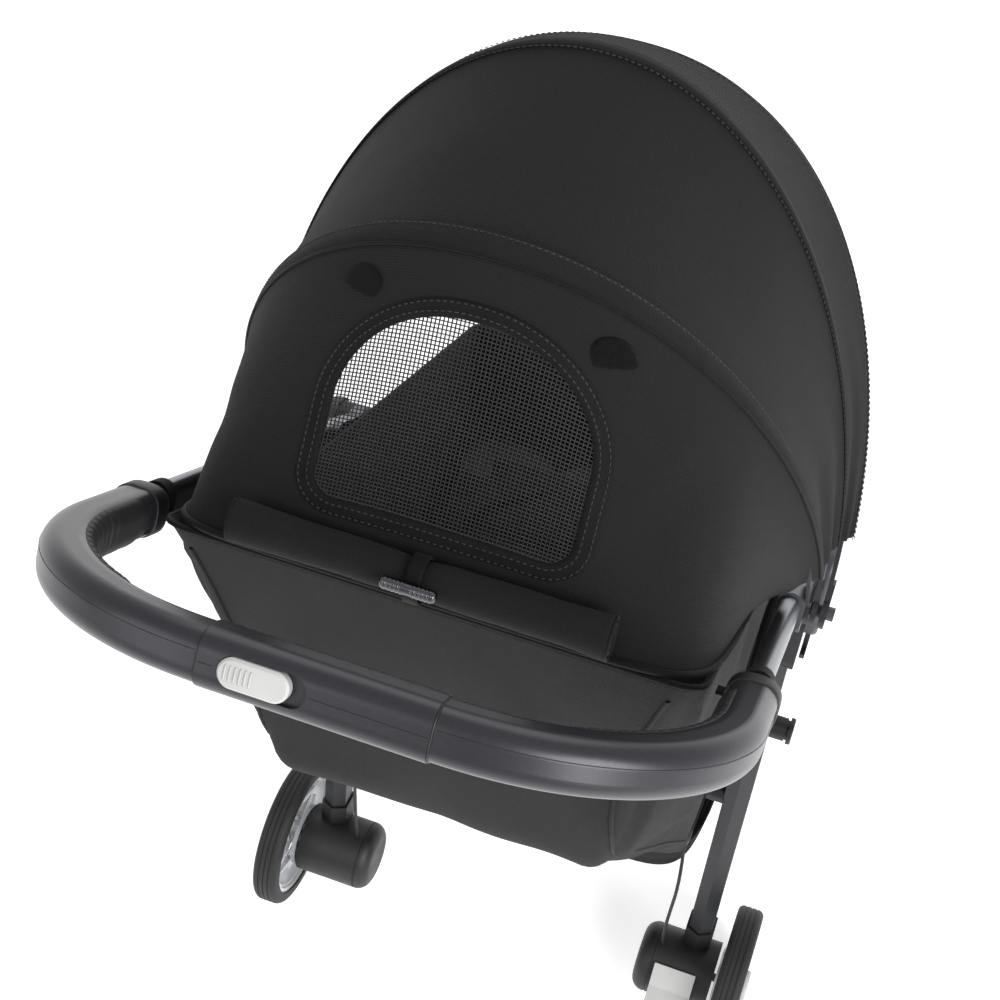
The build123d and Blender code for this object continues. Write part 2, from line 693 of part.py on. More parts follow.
roll_half = 113.0
roll_r = 11.0
roll_up = 17.0
roll_y = seam_y - roll_up * cos(radians(50.4)) + (roll_r + 1.5) * sin(radians(50.4))
roll_z = seam_z + roll_up * sin(radians(50.4)) + (roll_r + 1.5) * cos(radians(50.4))
with BuildPart() as window_flap:
    with BuildSketch(side_plane(-roll_half, roll_y, roll_z)):
        Ellipse(roll_r + 3, roll_r, rotation=130)
    extrude(amount=2 * roll_half)
finish(window_flap, "window_flap")

toggle_l = 34.0
with BuildPart() as flap_toggle:
    toggle_y = roll_y + (roll_r + 5.5) * sin(radians(50.4))
    toggle_z = roll_z + (roll_r + 5.5) * cos(radians(50.4))
    with BuildSketch(side_plane(-toggle_l / 2, toggle_y, toggle_z)):
        Circle(4)
    extrude(amount=toggle_l)
finish(flap_toggle, "flap_toggle")

with BuildPart() as corner_straps:
    for side in (1, -1):
        with BuildSketch(plane_along(side * handle_tube_x, handle_angle, collar_reach - 22)):
            SlotOverall(29, 19, rotation=90)
            SlotOverall(25.0, 15.0, rotation=90, mode=Mode.SUBTRACT)
        extrude(amount=12)
        with BuildSketch(plane_along(side * 177.0, handle_angle, collar_reach - 22)):
            with Locations((0, 6)):
                Rectangle(12.6, 2)
        extrude(amount=12)
finish(corner_straps, "corner_straps")


# ---------------------------------------------------------------- cabin, as its sewn panels
def panel(points, thickness, inward):
    """Flat cloth panel through corner points, thickened toward a point inside the cabin."""
    plane = panel_plane(points[0], points[1], points[2])
    if plane.to_local_coords(Vector(*inward)).Z < 0:
        thickness = -thickness
    corners = [plane.to_local_coords(Vector(*p)) for p in points]
    with BuildSketch(plane, mode=Mode.PRIVATE) as outline:
        with BuildLine():
            Polyline(*[(c.X, c.Y) for c in corners], close=True)
        make_face()
    extrude(outline.sketch, amount=thickness)


def at(x, corner):
    """Side-view corner (y, z) placed at x."""
    return (x, corner[0], corner[1])


inside = (0, main_hinge_y + 60, 480)
wall_gap = 0.5             # between the end walls and the side cloth
with BuildPart() as cabin_back:
    reach = bag_corner_x - cloth
    upper = cabin_x - cloth - wall_gap
    panel([at(-upper, rim_rear), at(upper, rim_rear), at(reach, bag_corner), at(-reach, bag_corner)],
          cloth, inside)
    panel([at(-reach, bag_corner), at(reach, bag_corner), at(upper, floor_rear), at(-upper, floor_rear)],
          cloth, inside)
finish(cabin_back, "cabin_back")

with BuildPart() as cabin_sides:
    for side in (1, -1):
        x = side * cabin_x
        panel([at(x, rim_rear), at(x, floor_rear), at(x, floor_front), at(x, rim_front), at(x, rim_middle)],
              cloth, inside)
        panel([at(x, rim_rear), at(x, floor_rear), at(side * bag_corner_x, bag_corner)], cloth, inside)
finish(cabin_sides, "cabin_sides")

with BuildPart() as cabin_front:
    reach = cabin_x - cloth - wall_gap
    panel([at(-reach, rim_front), at(reach, rim_front), at(reach, floor_front), at(-reach, floor_front)], 12, inside)
finish(cabin_front, "cabin_front")

board_t = 6.0
with BuildPart() as cabin_floor:
    with BuildSketch(Plane.XY.offset(floor_front[1])):
        with Locations((0, (floor_front[0] + floor_rear[0]) / 2 + 3)):
            RectangleRounded(2 * (cabin_x - cloth) - 3, floor_rear[0] - floor_front[0] - 24, 12)
    extrude(amount=board_t)
finish(cabin_floor, "cabin_floor")

with BuildPart() as cabin_cushion:
    with BuildSketch(Plane.XY.offset(floor_front[1] + board_t + 0.4)):
        with Locations((0, (floor_front[0] + floor_rear[0]) / 2 + 6)):
            RectangleRounded(2 * (cabin_x - cloth) - 16, floor_rear[0] - floor_front[0] - 50, 30)
    extrude(amount=28)
    fillet(cabin_cushion.faces().sort_by(Axis.Z)[-1].edges(), 9)
finish(cabin_cushion, "cabin_cushion")

with BuildPart() as safety_tether:
    top = floor_front[1] + board_t + 29.0
    with BuildSketch(Plane.XY.offset(top)):
        with Locations((70, main_hinge_y + 30)):
            SlotOverall(200, 20, rotation=72)
    extrude(amount=2.5)
    with BuildSketch(Plane.XY.offset(top)):
        with Locations((34, main_hinge_y - 78)):
            RectangleRounded(28, 40, 6)
    extrude(amount=9)
finish(safety_tether, "safety_tether")

basket_low = 140.0
basket_high = 226.0
basket_rear = rear_axle_y - 52.0
basket_front = main_hinge_y - 250.0
basket_x = 166.0
with BuildPart() as under_basket:
    with BuildSketch(Plane.XY.offset(basket_low)):
        with Locations((0, (basket_rear + basket_front) / 2)):
            RectangleRounded(2 * basket_x, basket_rear - basket_front, 25)
    extrude(amount=basket_high - basket_low)
    with BuildSketch(Plane.XY.offset(basket_low + cloth)):
        with Locations((0, (basket_rear + basket_front) / 2)):
            RectangleRounded(2 * basket_x - 2 * cloth, basket_rear - basket_front - 2 * cloth, 22)
    extrude(amount=basket_high - basket_low, mode=Mode.SUBTRACT)
finish(under_basket, "under_basket")
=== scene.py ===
"""Cloth, trims and finishes of a folding pet stroller, built around its fixed frame.

Metres, +Z up, the front of the stroller toward -Y and the left of the person pushing toward +X.
"""

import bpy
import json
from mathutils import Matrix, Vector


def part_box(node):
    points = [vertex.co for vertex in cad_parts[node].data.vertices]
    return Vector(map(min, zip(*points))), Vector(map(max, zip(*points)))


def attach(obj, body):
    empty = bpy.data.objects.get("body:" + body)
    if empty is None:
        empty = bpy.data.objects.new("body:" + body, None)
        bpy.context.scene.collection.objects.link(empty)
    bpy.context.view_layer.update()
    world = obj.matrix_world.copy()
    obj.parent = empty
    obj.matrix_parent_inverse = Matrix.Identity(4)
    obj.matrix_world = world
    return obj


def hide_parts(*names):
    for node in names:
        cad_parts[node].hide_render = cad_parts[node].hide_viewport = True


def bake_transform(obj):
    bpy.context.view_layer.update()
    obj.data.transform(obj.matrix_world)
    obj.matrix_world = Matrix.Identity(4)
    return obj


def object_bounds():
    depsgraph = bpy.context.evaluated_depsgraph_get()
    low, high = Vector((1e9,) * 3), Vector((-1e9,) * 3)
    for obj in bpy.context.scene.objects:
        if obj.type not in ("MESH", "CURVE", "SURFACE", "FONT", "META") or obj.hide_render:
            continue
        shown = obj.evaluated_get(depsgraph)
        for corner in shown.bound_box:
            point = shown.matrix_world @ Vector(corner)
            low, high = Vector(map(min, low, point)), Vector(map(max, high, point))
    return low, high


bl_info = {
    "name": "Pet Stroller Finish",
    "version": (1, 0, 0),
    "blender": (4, 5, 0),
    "location": "View3D > Sidebar > Stroller",
    "description": "Builds the cloth, trims and finishes of a folding pet stroller around its frame",
    "category": "Object",
}

import json
import math

import bmesh
import bpy
import numpy as np
from bpy.props import FloatProperty, FloatVectorProperty, PointerProperty
from mathutils import Matrix, Vector, noise

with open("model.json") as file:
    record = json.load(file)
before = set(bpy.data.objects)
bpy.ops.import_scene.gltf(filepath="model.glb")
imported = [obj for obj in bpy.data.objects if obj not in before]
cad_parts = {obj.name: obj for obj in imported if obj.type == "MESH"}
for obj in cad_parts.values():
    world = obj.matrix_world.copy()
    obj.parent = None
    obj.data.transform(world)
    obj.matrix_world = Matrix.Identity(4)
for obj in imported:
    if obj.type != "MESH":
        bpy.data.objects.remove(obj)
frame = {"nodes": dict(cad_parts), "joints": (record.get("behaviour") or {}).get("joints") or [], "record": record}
cad_low, cad_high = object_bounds()
joints = {joint["name"]: joint for joint in frame["joints"]}
MM = 0.001

HINGE = Vector(joints["handle_fold"]["pos_m"])
PIVOT = Vector(joints["canopy_mid_fold"]["pos_m"])
HANDLE_ANGLE = math.radians(47.2)
UP_SLOPE = Vector((0, math.cos(HANDLE_ANGLE), math.sin(HANDLE_ANGLE)))
OFF_SLOPE = Vector((0, -math.sin(HANDLE_ANGLE), math.cos(HANDLE_ANGLE)))
HANDLE_REACH = 0.577
HANDLE_CENTRE = Vector((0, HINGE.y, HINGE.z)) + UP_SLOPE * HANDLE_REACH

# each canopy arch: lean about the pivot in degrees, half width, height, squareness
SEAM_ARCH = (49.5, 0.168, 0.289, 9.0)
REAR_ARCH = (81.0, 0.209, 0.377, 2.08)
MID_ARCH = (111.0, 0.214, 0.370, 2.02)
FRONT_ARCH = (126.0, 0.221, 0.350, 2.2)
HEM_ARCH = (129.5, 0.221, 0.344, 2.2)
CLOTH_START = 0.060
CLOTH = 0.0022


# ---------------------------------------------------------------- sizes and colours a user would change
def length(name, text, default, low=0.0, high=1.0):
    """A length property in metres."""
    return FloatProperty(name=name, description=text, default=default, min=low, max=high,
                         unit="LENGTH", subtype="DISTANCE", precision=5)


def linear(code):
    """A colour written as sRGB hex, as linear numbers with alpha."""
    numbers = [int(code[i:i + 2], 16) / 255 for i in (1, 3, 5)]
    return tuple(c / 12.92 if c <= 0.04045 else ((c + 0.055) / 1.055) ** 2.4 for c in numbers) + (1.0,)


def colour(name, text, code):
    """A colour property, its default given as sRGB hex."""
    return FloatVectorProperty(name=name, description=text, default=linear(code), size=4, min=0, max=1,
                               subtype="COLOR")


class StrollerSizes(bpy.types.PropertyGroup):
    thread: length("Thread spacing", "Spacing of the cloth's threads, drawn coarse enough to show", 0.0011)
    net_pitch: length("Net pitch", "Spacing of the window's wires", 0.0024)
    net_wire: length("Net wire", "Radius of the window's wires", 0.00042)
    stitch: length("Stitch length", "Length of one stitch", 0.0026)
    stitch_step: length("Stitch step", "Distance from one stitch to the next", 0.0040)
    piping: length("Piping radius", "Radius of the piping along the canopy's rear hoop", 0.0011)
    crease: length("Crease depth", "How deep the cloth's soft creases are", 0.0024)
    bag_crease: length("Bag crease depth", "How deep the creases of the cabin cloth are", 0.0036)
    rib_step: length("Grip rib step", "Distance between the grooves of the grip pads", 0.0092)
    cushion_cap: length("Cushion swell", "Most that a point of the cushion may swell", 0.009)


class StrollerColours(bpy.types.PropertyGroup):
    canopy: colour("Canopy cloth", "Colour of the canopy, flap and cabin cloth", "#201f20")
    lining: colour("Lining", "Colour of the cabin's lining and cushion", "#1c1c1e")
    tape: colour("Binding tape", "Colour of the bindings and webbing", "#0b0b0c")
    shell: colour("Handle shells", "Colour of the handlebar's shells", "#26262c")
    legs: colour("Leg paint", "Colour of the painted leg tubes", "#1c1d21")
    tubes: colour("Handle tubes", "Colour of the anodised handle tubes", "#6d6e74")
    buttons: colour("Pale plastic", "Colour of the slide button, pedal and hub caps", "#b4b5b3")
    housings: colour("Grey plastic", "Colour of the hinge housings and clamps", "#3c3d43")
    floor: colour("Floor", "Colour of the studio floor", "#ffffff")


# ---------------------------------------------------------------- nodes
def add(tree, kind, inputs=(), **settings):
    """Add a node, set its properties, and give its inputs values or links."""
    node = tree.nodes.new(kind)
    for key, value in settings.items():
        setattr(node, key, value)
    for key, value in dict(inputs).items():
        if isinstance(value, bpy.types.NodeSocket):
            tree.links.new(value, node.inputs[key])
        else:
            node.inputs[key].default_value = value
    return node


def finish_of(name, base, roughness, metallic=0.0, **extra):
    """A new material with one Principled shader. Gives the material, its tree and the shader."""
    material = bpy.data.materials.new(name)
    material.use_nodes = True
    tree = material.node_tree
    tree.nodes.clear()
    shader = add(tree, "ShaderNodeBsdfPrincipled", {"Base Color": base, "Roughness": roughness,
                                                    "Metallic": metallic, **extra})
    add(tree, "ShaderNodeOutputMaterial", {"Surface": shader.outputs[0]})
    material.diffuse_color = base
    return material, tree, shader


def shade_of(rgba, factor):
    """A colour made darker or lighter."""
    return tuple(min(1.0, c * factor) for c in rgba[:3]) + (1.0,)


def vary(tree, shader, base, spread, size, detail=3.0, vector=None):
    """Let the base colour drift between a darker and a lighter shade over a real distance."""
    vector = vector or add(tree, "ShaderNodeTexCoord").outputs["Object"]
    cloud = add(tree, "ShaderNodeTexNoise", {"Vector": vector, "Scale": 1 / size, "Detail": detail})
    ramp = add(tree, "ShaderNodeValToRGB", {"Fac": cloud.outputs["Fac"]})
    ramp.color_ramp.elements[0].position = 0.3
    ramp.color_ramp.elements[0].color = shade_of(base, 1 - spread)
    ramp.color_ramp.elements[1].position = 0.7
    ramp.color_ramp.elements[1].color = shade_of(base, 1 + spread)
    tree.links.new(ramp.outputs["Color"], shader.inputs["Base Color"])
    return ramp


def bump(tree, shader, height, distance, strength=1.0):
    """Raise the surface by a height pattern, at a real depth."""
    relief = add(tree, "ShaderNodeBump", {"Height": height, "Distance": distance, "Strength": strength})
    tree.links.new(relief.outputs["Normal"], shader.inputs["Normal"])


def woven(name, base, thread, sheen, depth=0.25 * MM, spread=0.16):
    """Polyester oxford cloth: plain weave of matt threads with painted shade in the gaps between them, a faint
    sheen and faint handling marks.

    The real threads are about 0.4 mm apart; they are drawn coarser so that the weave shows.
    """
    material, tree, shader = finish_of(name, base, 0.82)
    shader.inputs["Sheen Weight"].default_value = sheen
    shader.inputs["Specular IOR Level"].default_value = 0.14
    shader.inputs["Sheen Roughness"].default_value = 0.45
    uv = add(tree, "ShaderNodeUVMap").outputs[0]
    turns = 2 * math.pi / thread
    split = add(tree, "ShaderNodeSeparateXYZ", {0: uv})
    waves = []
    for axis in ("X", "Y"):
        turned = add(tree, "ShaderNodeMath", {0: split.outputs[axis], 1: turns / 2}, operation="MULTIPLY")
        wave = add(tree, "ShaderNodeMath", {0: turned.outputs[0]}, operation="SINE")
        waves.append(add(tree, "ShaderNodeMath", {0: wave.outputs[0]}, operation="ABSOLUTE").outputs[0])
    over = add(tree, "ShaderNodeMath", {0: waves[0], 1: waves[1]}, operation="MULTIPLY")
    slub = add(tree, "ShaderNodeTexNoise", {"Vector": uv, "Scale": 1 / (5 * MM), "Detail": 4.0})
    height = add(tree, "ShaderNodeMath", {0: slub.outputs["Fac"], 1: 0.8, 2: over.outputs[0]},
                 operation="MULTIPLY_ADD")
    bump(tree, shader, height.outputs[0], depth)
    cloud = vary(tree, shader, base, spread, 90 * MM, vector=uv)
    # painted shade: the gaps between the threads, where the weave is low, are drawn darker
    gap_shade_mix = add(tree, "ShaderNodeMix", {"Factor": over.outputs[0]}, data_type="RGBA")
    tree.links.new(cloud.outputs["Color"], gap_shade_mix.inputs[7])
    gap_shade_mix.inputs[6].default_value = shade_of(base, 0.62)
    tree.links.new(gap_shade_mix.outputs[2], shader.inputs["Base Color"])
    return material


def tape_finish(name, base, rib=0.9 * MM):
    """Grosgrain tape and webbing: matt polyester with fine cross ribs."""
    material, tree, shader = finish_of(name, base, 0.7)
    shader.inputs["Sheen Weight"].default_value = 0.04
    shader.inputs["Specular IOR Level"].default_value = 0.15
    place = add(tree, "ShaderNodeTexCoord").outputs["Object"]
    ribs = add(tree, "ShaderNodeTexVoronoi", {"Vector": place, "Scale": 1 / rib})
    bump(tree, shader, ribs.outputs["Distance"], 0.2 * MM)
    vary(tree, shader, base, 0.2, 14 * MM)
    return material


def moulded(name, base, roughness, grain=0.9 * MM, depth=0.04 * MM, metallic=0.0, coat=0.0):
    """Injection-moulded plastic: an even colour with a fine spark-eroded grain and slightly uneven gloss."""
    material, tree, shader = finish_of(name, base, roughness, metallic)
    shader.inputs["Coat Weight"].default_value = coat
    shader.inputs["Coat Roughness"].default_value = 0.25
    place = add(tree, "ShaderNodeTexCoord").outputs["Object"]
    fine = add(tree, "ShaderNodeTexNoise", {"Vector": place, "Scale": 1 / grain, "Detail": 2.0})
    bump(tree, shader, fine.outputs["Fac"], depth)
    broad = add(tree, "ShaderNodeTexNoise", {"Vector": place, "Scale": 1 / (28 * MM), "Detail": 4.0})
    gloss = add(tree, "ShaderNodeMapRange", {"Value": broad.outputs["Fac"], "From Min": 0.3, "From Max": 0.7,
                                             "To Min": roughness - 0.06, "To Max": roughness + 0.08})
    tree.links.new(gloss.outputs[0], shader.inputs["Roughness"])
    vary(tree, shader, base, 0.07, 40 * MM)
    return material


def flake_paint(name, base, roughness=0.36):
    """Metallic lacquer on moulded plastic: a satin coat over fine aluminium flake that glitters faintly."""
    material, tree, shader = finish_of(name, base, roughness, 0.35)
    place = add(tree, "ShaderNodeTexCoord").outputs["Object"]
    flake = add(tree, "ShaderNodeTexVoronoi", {"Vector": place, "Scale": 1 / (0.7 * MM)})
    ramp = add(tree, "ShaderNodeValToRGB", {"Fac": flake.outputs["Color"]})
    ramp.color_ramp.elements[0].color = shade_of(base, 0.86)
    ramp.color_ramp.elements[1].color = shade_of(base, 1.22)
    tree.links.new(ramp.outputs["Color"], shader.inputs["Base Color"])
    skin = add(tree, "ShaderNodeTexNoise", {"Vector": place, "Scale": 1 / (2.2 * MM), "Detail": 2.0})
    bump(tree, shader, skin.outputs["Fac"], 0.03 * MM)
    shader.inputs["Coat Weight"].default_value = 0.2
    shader.inputs["Coat Roughness"].default_value = 0.3
    return material


def powder_coat(name, base):
    """Powder-coated steel tube: a satin skin with slight orange peel, paler where handling has rubbed it."""
    material, tree, shader = finish_of(name, base, 0.42, 0.25)
    place = add(tree, "ShaderNodeTexCoord").outputs["Object"]
    peel = add(tree, "ShaderNodeTexNoise", {"Vector": place, "Scale": 1 / (1.6 * MM), "Detail": 2.0})
    bump(tree, shader, peel.outputs["Fac"], 0.06 * MM)
    vary(tree, shader, base, 0.1, 60 * MM)
    return material


def anodised(name, base, along):
    """Anodised aluminium tube: satin metal with fine drawing lines along its length."""
    material, tree, shader = finish_of(name, base, 0.34, 1.0)
    place = add(tree, "ShaderNodeTexCoord").outputs["Object"]
    turned = add(tree, "ShaderNodeMapping", {"Vector": place, "Rotation": (-along, 0, 0),
                                             "Scale": (900.0, 12.0, 900.0)})
    drawn = add(tree, "ShaderNodeTexNoise", {"Vector": turned.outputs[0], "Scale": 1.0, "Detail": 3.0})
    bump(tree, shader, drawn.outputs["Fac"], 0.02 * MM)
    vary(tree, shader, base, 0.06, 50 * MM)
    return material


def rubber(name, base, roughness=0.7):
    """Soft rubber or polyurethane: matt, faintly dusty, with a fine pore."""
    material, tree, shader = finish_of(name, base, roughness)
    place = add(tree, "ShaderNodeTexCoord").outputs["Object"]
    pores = add(tree, "ShaderNodeTexNoise", {"Vector": place, "Scale": 1 / (0.8 * MM), "Detail": 3.0})
    bump(tree, shader, pores.outputs["Fac"], 0.05 * MM)
    vary(tree, shader, base, 0.22, 25 * MM, 5.0)
    return material


def steel(name, base, roughness=0.28):
    """Plated spring steel and pins: bright metal with faint polishing haze."""
    material, tree, shader = finish_of(name, base, roughness, 1.0)
    vary(tree, shader, base, 0.08, 6 * MM)
    return material


def hook_and_loop(name, base):
    """Loop side of hook-and-loop tape: a dense matt pile of tiny loops."""
    material, tree, shader = finish_of(name, base, 0.95)
    place = add(tree, "ShaderNodeTexCoord").outputs["Object"]
    pile = add(tree, "ShaderNodeTexNoise", {"Vector": place, "Scale": 1 / (0.9 * MM), "Detail": 5.0,
                                            "Roughness": 0.8})
    bump(tree, shader, pile.outputs["Fac"], 0.8 * MM)
    shader.inputs["Sheen Weight"].default_value = 0.05
    shader.inputs["Specular IOR Level"].default_value = 0.1
    vary(tree, shader, base, 0.35, 2 * MM)
    return material


finishes = {}


def make_finishes():
    """Make every material once."""
    tones, sizes = bpy.context.scene.stroller_colours, bpy.context.scene.stroller_sizes
    finishes.update({
        "canopy": woven("polyester_oxford_cloth", tuple(tones.canopy), sizes.thread, 0.04),
        "bag": woven("polyester_bag_cloth", tuple(tones.canopy), sizes.thread * 1.1, 0.04, 0.3 * MM, 0.22),
        "lining": woven("brushed_lining", tuple(tones.lining), sizes.thread * 1.4, 0.06),
        "tape": tape_finish("polyester_tape", tuple(tones.tape)),
        "thread": tape_finish("spun_thread", linear("#343436"), 0.5 * MM),
        "net": moulded("nylon_net", linear("#121213"), 0.55),
        "shell": flake_paint("lacquered_abs_shell", tuple(tones.shell)),
        "legs": powder_coat("powder_coated_steel", tuple(tones.legs)),
        "tubes": anodised("anodised_aluminium", tuple(tones.tubes), HANDLE_ANGLE),
        "pale": moulded("pale_abs", tuple(tones.buttons), 0.45),
        "grey": moulded("grey_abs", tuple(tones.housings), 0.42, metallic=0.1),
        "black": moulded("black_nylon", linear("#0f0f10"), 0.5, 1.1 * MM, 0.06 * MM),
        "grip": rubber("grip_elastomer", linear("#131315"), 0.6),
        "tyre": rubber("polyurethane_tyre", linear("#161617"), 0.66),
        "rim": moulded("silver_lacquered_nylon", linear("#c3c5c8"), 0.3, 1.4 * MM, 0.03 * MM, 0.55, 0.3),
        "steel": steel("plated_steel", linear("#b9b9bb")),
        "gunmetal": steel("gunmetal_plating", linear("#5c5c60"), 0.22),
        "hoop": powder_coat("coated_spring_steel", linear("#26262a")),
        "pile": hook_and_loop("loop_pile", linear("#0c0c0d")),
    })


# ---------------------------------------------------------------- mesh helpers
def link(name, mesh):
    """A new object with this mesh, in the scene."""
    piece = bpy.data.objects.new(name, mesh)
    bpy.context.scene.collection.objects.link(piece)
    return piece


def smooth(piece):
    """Shade a mesh smoothly."""
    piece.data.polygons.foreach_set("use_smooth", [True] * len(piece.data.polygons))


def run_lengths(points):
    """Distance along each row of a grid of points, averaged over the rows."""
    steps = np.linalg.norm(np.diff(points, axis=1), axis=2).mean(axis=0)
    return np.concatenate([[0.0], np.cumsum(steps)])


def grid_piece(name, points, finish, inside=None, loop_rows=False, loop_columns=False, drop=None):
    """A mesh of quads over a grid of points, with a UV map in metres.

    inside is a point that the faces look away from; drop(row, column) leaves a face out.
    """
    points = np.asarray(points, float)
    rows, columns = points.shape[:2]
    across, down = run_lengths(points), run_lengths(points.transpose(1, 0, 2))
    faces, corners = [], []
    for i in range(rows if loop_rows else rows - 1):
        for j in range(columns if loop_columns else columns - 1):
            if drop is not None and drop(i, j):
                continue
            ring = [(i, j), (i, j + 1), (i + 1, j + 1), (i + 1, j)]
            faces.append([(a % rows) * columns + b % columns for a, b in ring])
            for a, b in ring:
                u = across[b] if b < columns else across[-1] + across[1]
                v = down[a] if a < rows else down[-1] + down[1]
                corners.append((u, v))
    mesh = bpy.data.meshes.new(name)
    mesh.from_pydata(points.reshape(-1, 3).tolist(), [], faces)
    uv = mesh.uv_layers.new(name="UVMap")
    uv.data.foreach_set("uv", np.array(corners).ravel())
    used = set(v for face in faces for v in face)
    if len(used) < len(mesh.vertices):
        shape = bmesh.new()
        shape.from_mesh(mesh)
        loose = [v for v in shape.verts if not v.link_faces]
        bmesh.ops.delete(shape, geom=loose, context="VERTS")
        shape.to_mesh(mesh)
        shape.free()
    if inside is not None:
        turn_outward(mesh, Vector(inside))
    piece = link(name, mesh)
    mesh.materials.append(finishes[finish])
    smooth(piece)
    return piece


def turn_outward(mesh, inside):
    """Flip a mesh whose faces look toward a point."""
    facing = sum(f.area * f.normal.dot(f.center - inside) for f in mesh.polygons)
    if facing < 0:
        mesh.flip_normals()


def recalculate(piece):
    """Point a closed mesh's faces outward."""
    shape = bmesh.new()
    shape.from_mesh(piece.data)
    bmesh.ops.recalc_face_normals(shape, faces=shape.faces)
    shape.to_mesh(piece.data)
    shape.free()


def bake(piece):
    """Replace a piece's mesh by what its modifiers make of it."""
    graph = bpy.context.evaluated_depsgraph_get()
    result = bpy.data.meshes.new_from_object(piece.evaluated_get(graph))
    piece.modifiers.clear()
    piece.data = result
    smooth(piece)
    return piece


def thicken(piece, thickness):
    """Give a sheet its thickness, inward."""
    wall = piece.modifiers.new("Thickness", "SOLIDIFY")
    wall.thickness = thickness
    wall.offset = -1
    wall.use_even_offset = False
    return bake(piece)


def normals_of(points, inside):
    """Outward unit normals of a grid of points."""
    points = np.asarray(points, float)
    crossed = np.cross(np.gradient(points, axis=0), np.gradient(points, axis=1))
    crossed /= np.maximum(np.linalg.norm(crossed, axis=2, keepdims=True), 1e-12)
    if np.sum(crossed * (points - np.array(inside))) < 0:
        crossed = -crossed
    return crossed


def even(line, count):
    """A line of points resampled to evenly spaced ones."""
    line = np.asarray(line, float)
    along = np.concatenate([[0.0], np.cumsum(np.linalg.norm(np.diff(line, axis=0), axis=1))])
    wanted = np.linspace(0, along[-1], count)
    return np.stack([np.interp(wanted, along, line[:, k]) for k in range(line.shape[1])], axis=1)


def fold_noise(place, size, seed):
    """Smooth noise from -1 to 1 at a place, over a real distance."""
    return noise.noise(Vector(place) / size + Vector((seed, 2.3 * seed, -seed)))


def place(piece, body, slot, *nodes):
    """Let a piece ride on a body and stand for CAD nodes, which it hides; the slot is not used."""
    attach(piece, body)
    if nodes:
        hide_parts(*nodes)
    return piece


# ---------------------------------------------------------------- trees for what repeats or follows a line
def start_tree(name, inputs):
    """A geometry tree with named inputs. Gives the tree and its input node."""
    tree = bpy.data.node_groups.new(name, "GeometryNodeTree")
    tree.interface.new_socket("Lines", in_out="INPUT", socket_type="NodeSocketGeometry")
    for label, kind in inputs:
        tree.interface.new_socket(label, in_out="INPUT", socket_type=kind)
    tree.interface.new_socket("Finish", in_out="INPUT", socket_type="NodeSocketMaterial")
    tree.interface.new_socket("Result", in_out="OUTPUT", socket_type="NodeSocketGeometry")
    return tree, tree.nodes.new("NodeGroupInput")


def end_tree(tree, given, shape):
    """Close a geometry tree: real faces with their material."""
    real = add(tree, "GeometryNodeRealizeInstances", {0: shape})
    finished = add(tree, "GeometryNodeSetMaterial", {"Geometry": real.outputs[0],
                                                     "Material": given.outputs["Finish"]})
    add(tree, "NodeGroupOutput", {0: finished.outputs[0]})
    return tree


def cord_tree():
    """Sweeps a round section along each line."""
    tree, given = start_tree("Cord Along Lines", [("Radius", "NodeSocketFloat"), ("Sides", "NodeSocketInt")])
    curve = add(tree, "GeometryNodeMeshToCurve", {0: given.outputs["Lines"]})
    ring = add(tree, "GeometryNodeCurvePrimitiveCircle", {"Resolution": given.outputs["Sides"],
                                                          "Radius": given.outputs["Radius"]})
    swept = add(tree, "GeometryNodeCurveToMesh", {0: curve.outputs[0], "Profile Curve": ring.outputs[0],
                                                  "Fill Caps": True})
    return end_tree(tree, given, swept.outputs[0])


def row_tree():
    """Sets a small rounded bar at even steps along each line, standing on the stored up direction."""
    sizes = [("Step", "NodeSocketFloat"), ("Size", "NodeSocketVector"), ("Rounding", "NodeSocketFloat")]
    tree, given = start_tree("Bars Along Lines", sizes)
    curve = add(tree, "GeometryNodeMeshToCurve", {0: given.outputs["Lines"]})
    spaced = add(tree, "GeometryNodeResampleCurve",
                 {"Curve": curve.outputs[0], "Length": given.outputs["Step"]},
                 mode="LENGTH")
    tangent = add(tree, "GeometryNodeInputTangent")
    up = add(tree, "GeometryNodeInputNamedAttribute", {"Name": "up"}, data_type="FLOAT_VECTOR")
    along = add(tree, "FunctionNodeAlignRotationToVector", {"Vector": tangent.outputs[0]}, axis="X")
    turned = add(tree, "FunctionNodeAlignRotationToVector", {"Rotation": along.outputs[0],
                                                             "Vector": up.outputs["Attribute"]},
                 axis="Z", pivot_axis="X")
    bar = add(tree, "GeometryNodeMeshCube", {"Size": given.outputs["Size"]})
    soft = add(tree, "GeometryNodeSubdivisionSurface", {"Mesh": bar.outputs[0], "Level": 1,
                                                        "Edge Crease": given.outputs["Rounding"]})
    bars = add(tree, "GeometryNodeInstanceOnPoints", {"Points": spaced.outputs[0], "Instance": soft.outputs[0],
                                                      "Rotation": turned.outputs[0]})
    return end_tree(tree, given, bars.outputs[0])


def run_tree(name, tree, lines, finish, values, ups=None, closed=False):
    """Put lines of points through a geometry tree and keep the plain mesh that it makes."""
    points, edges = [], []
    for line in lines:
        first = len(points)
        points += [tuple(p) for p in line]
        edges += [(first + i, first + i + 1) for i in range(len(line) - 1)]
        if closed:
            edges.append((len(points) - 1, first))
    mesh = bpy.data.meshes.new(name)
    mesh.from_pydata(points, edges, [])
    if ups is not None:
        stored = mesh.attributes.new("up", "FLOAT_VECTOR", "POINT")
        stored.data.foreach_set("vector", np.concatenate([np.asarray(u, float) for u in ups]).ravel())
    piece = link(name, mesh)
    rule = piece.modifiers.new("Rule", "NODES")
    rule.node_group = tree
    values = {**values, "Finish": finishes[finish]}
    for socket in tree.interface.items_tree:
        if socket.in_out == "INPUT" and socket.name in values:
            rule[socket.identifier] = values[socket.name]
    return bake(piece)


def cord_along(name, lines, radius, finish, closed=False, sides=8):
    """A round cord along each line of points."""
    return run_tree(name, cord_tree(), lines, finish, {"Radius": radius, "Sides": sides}, closed=closed)


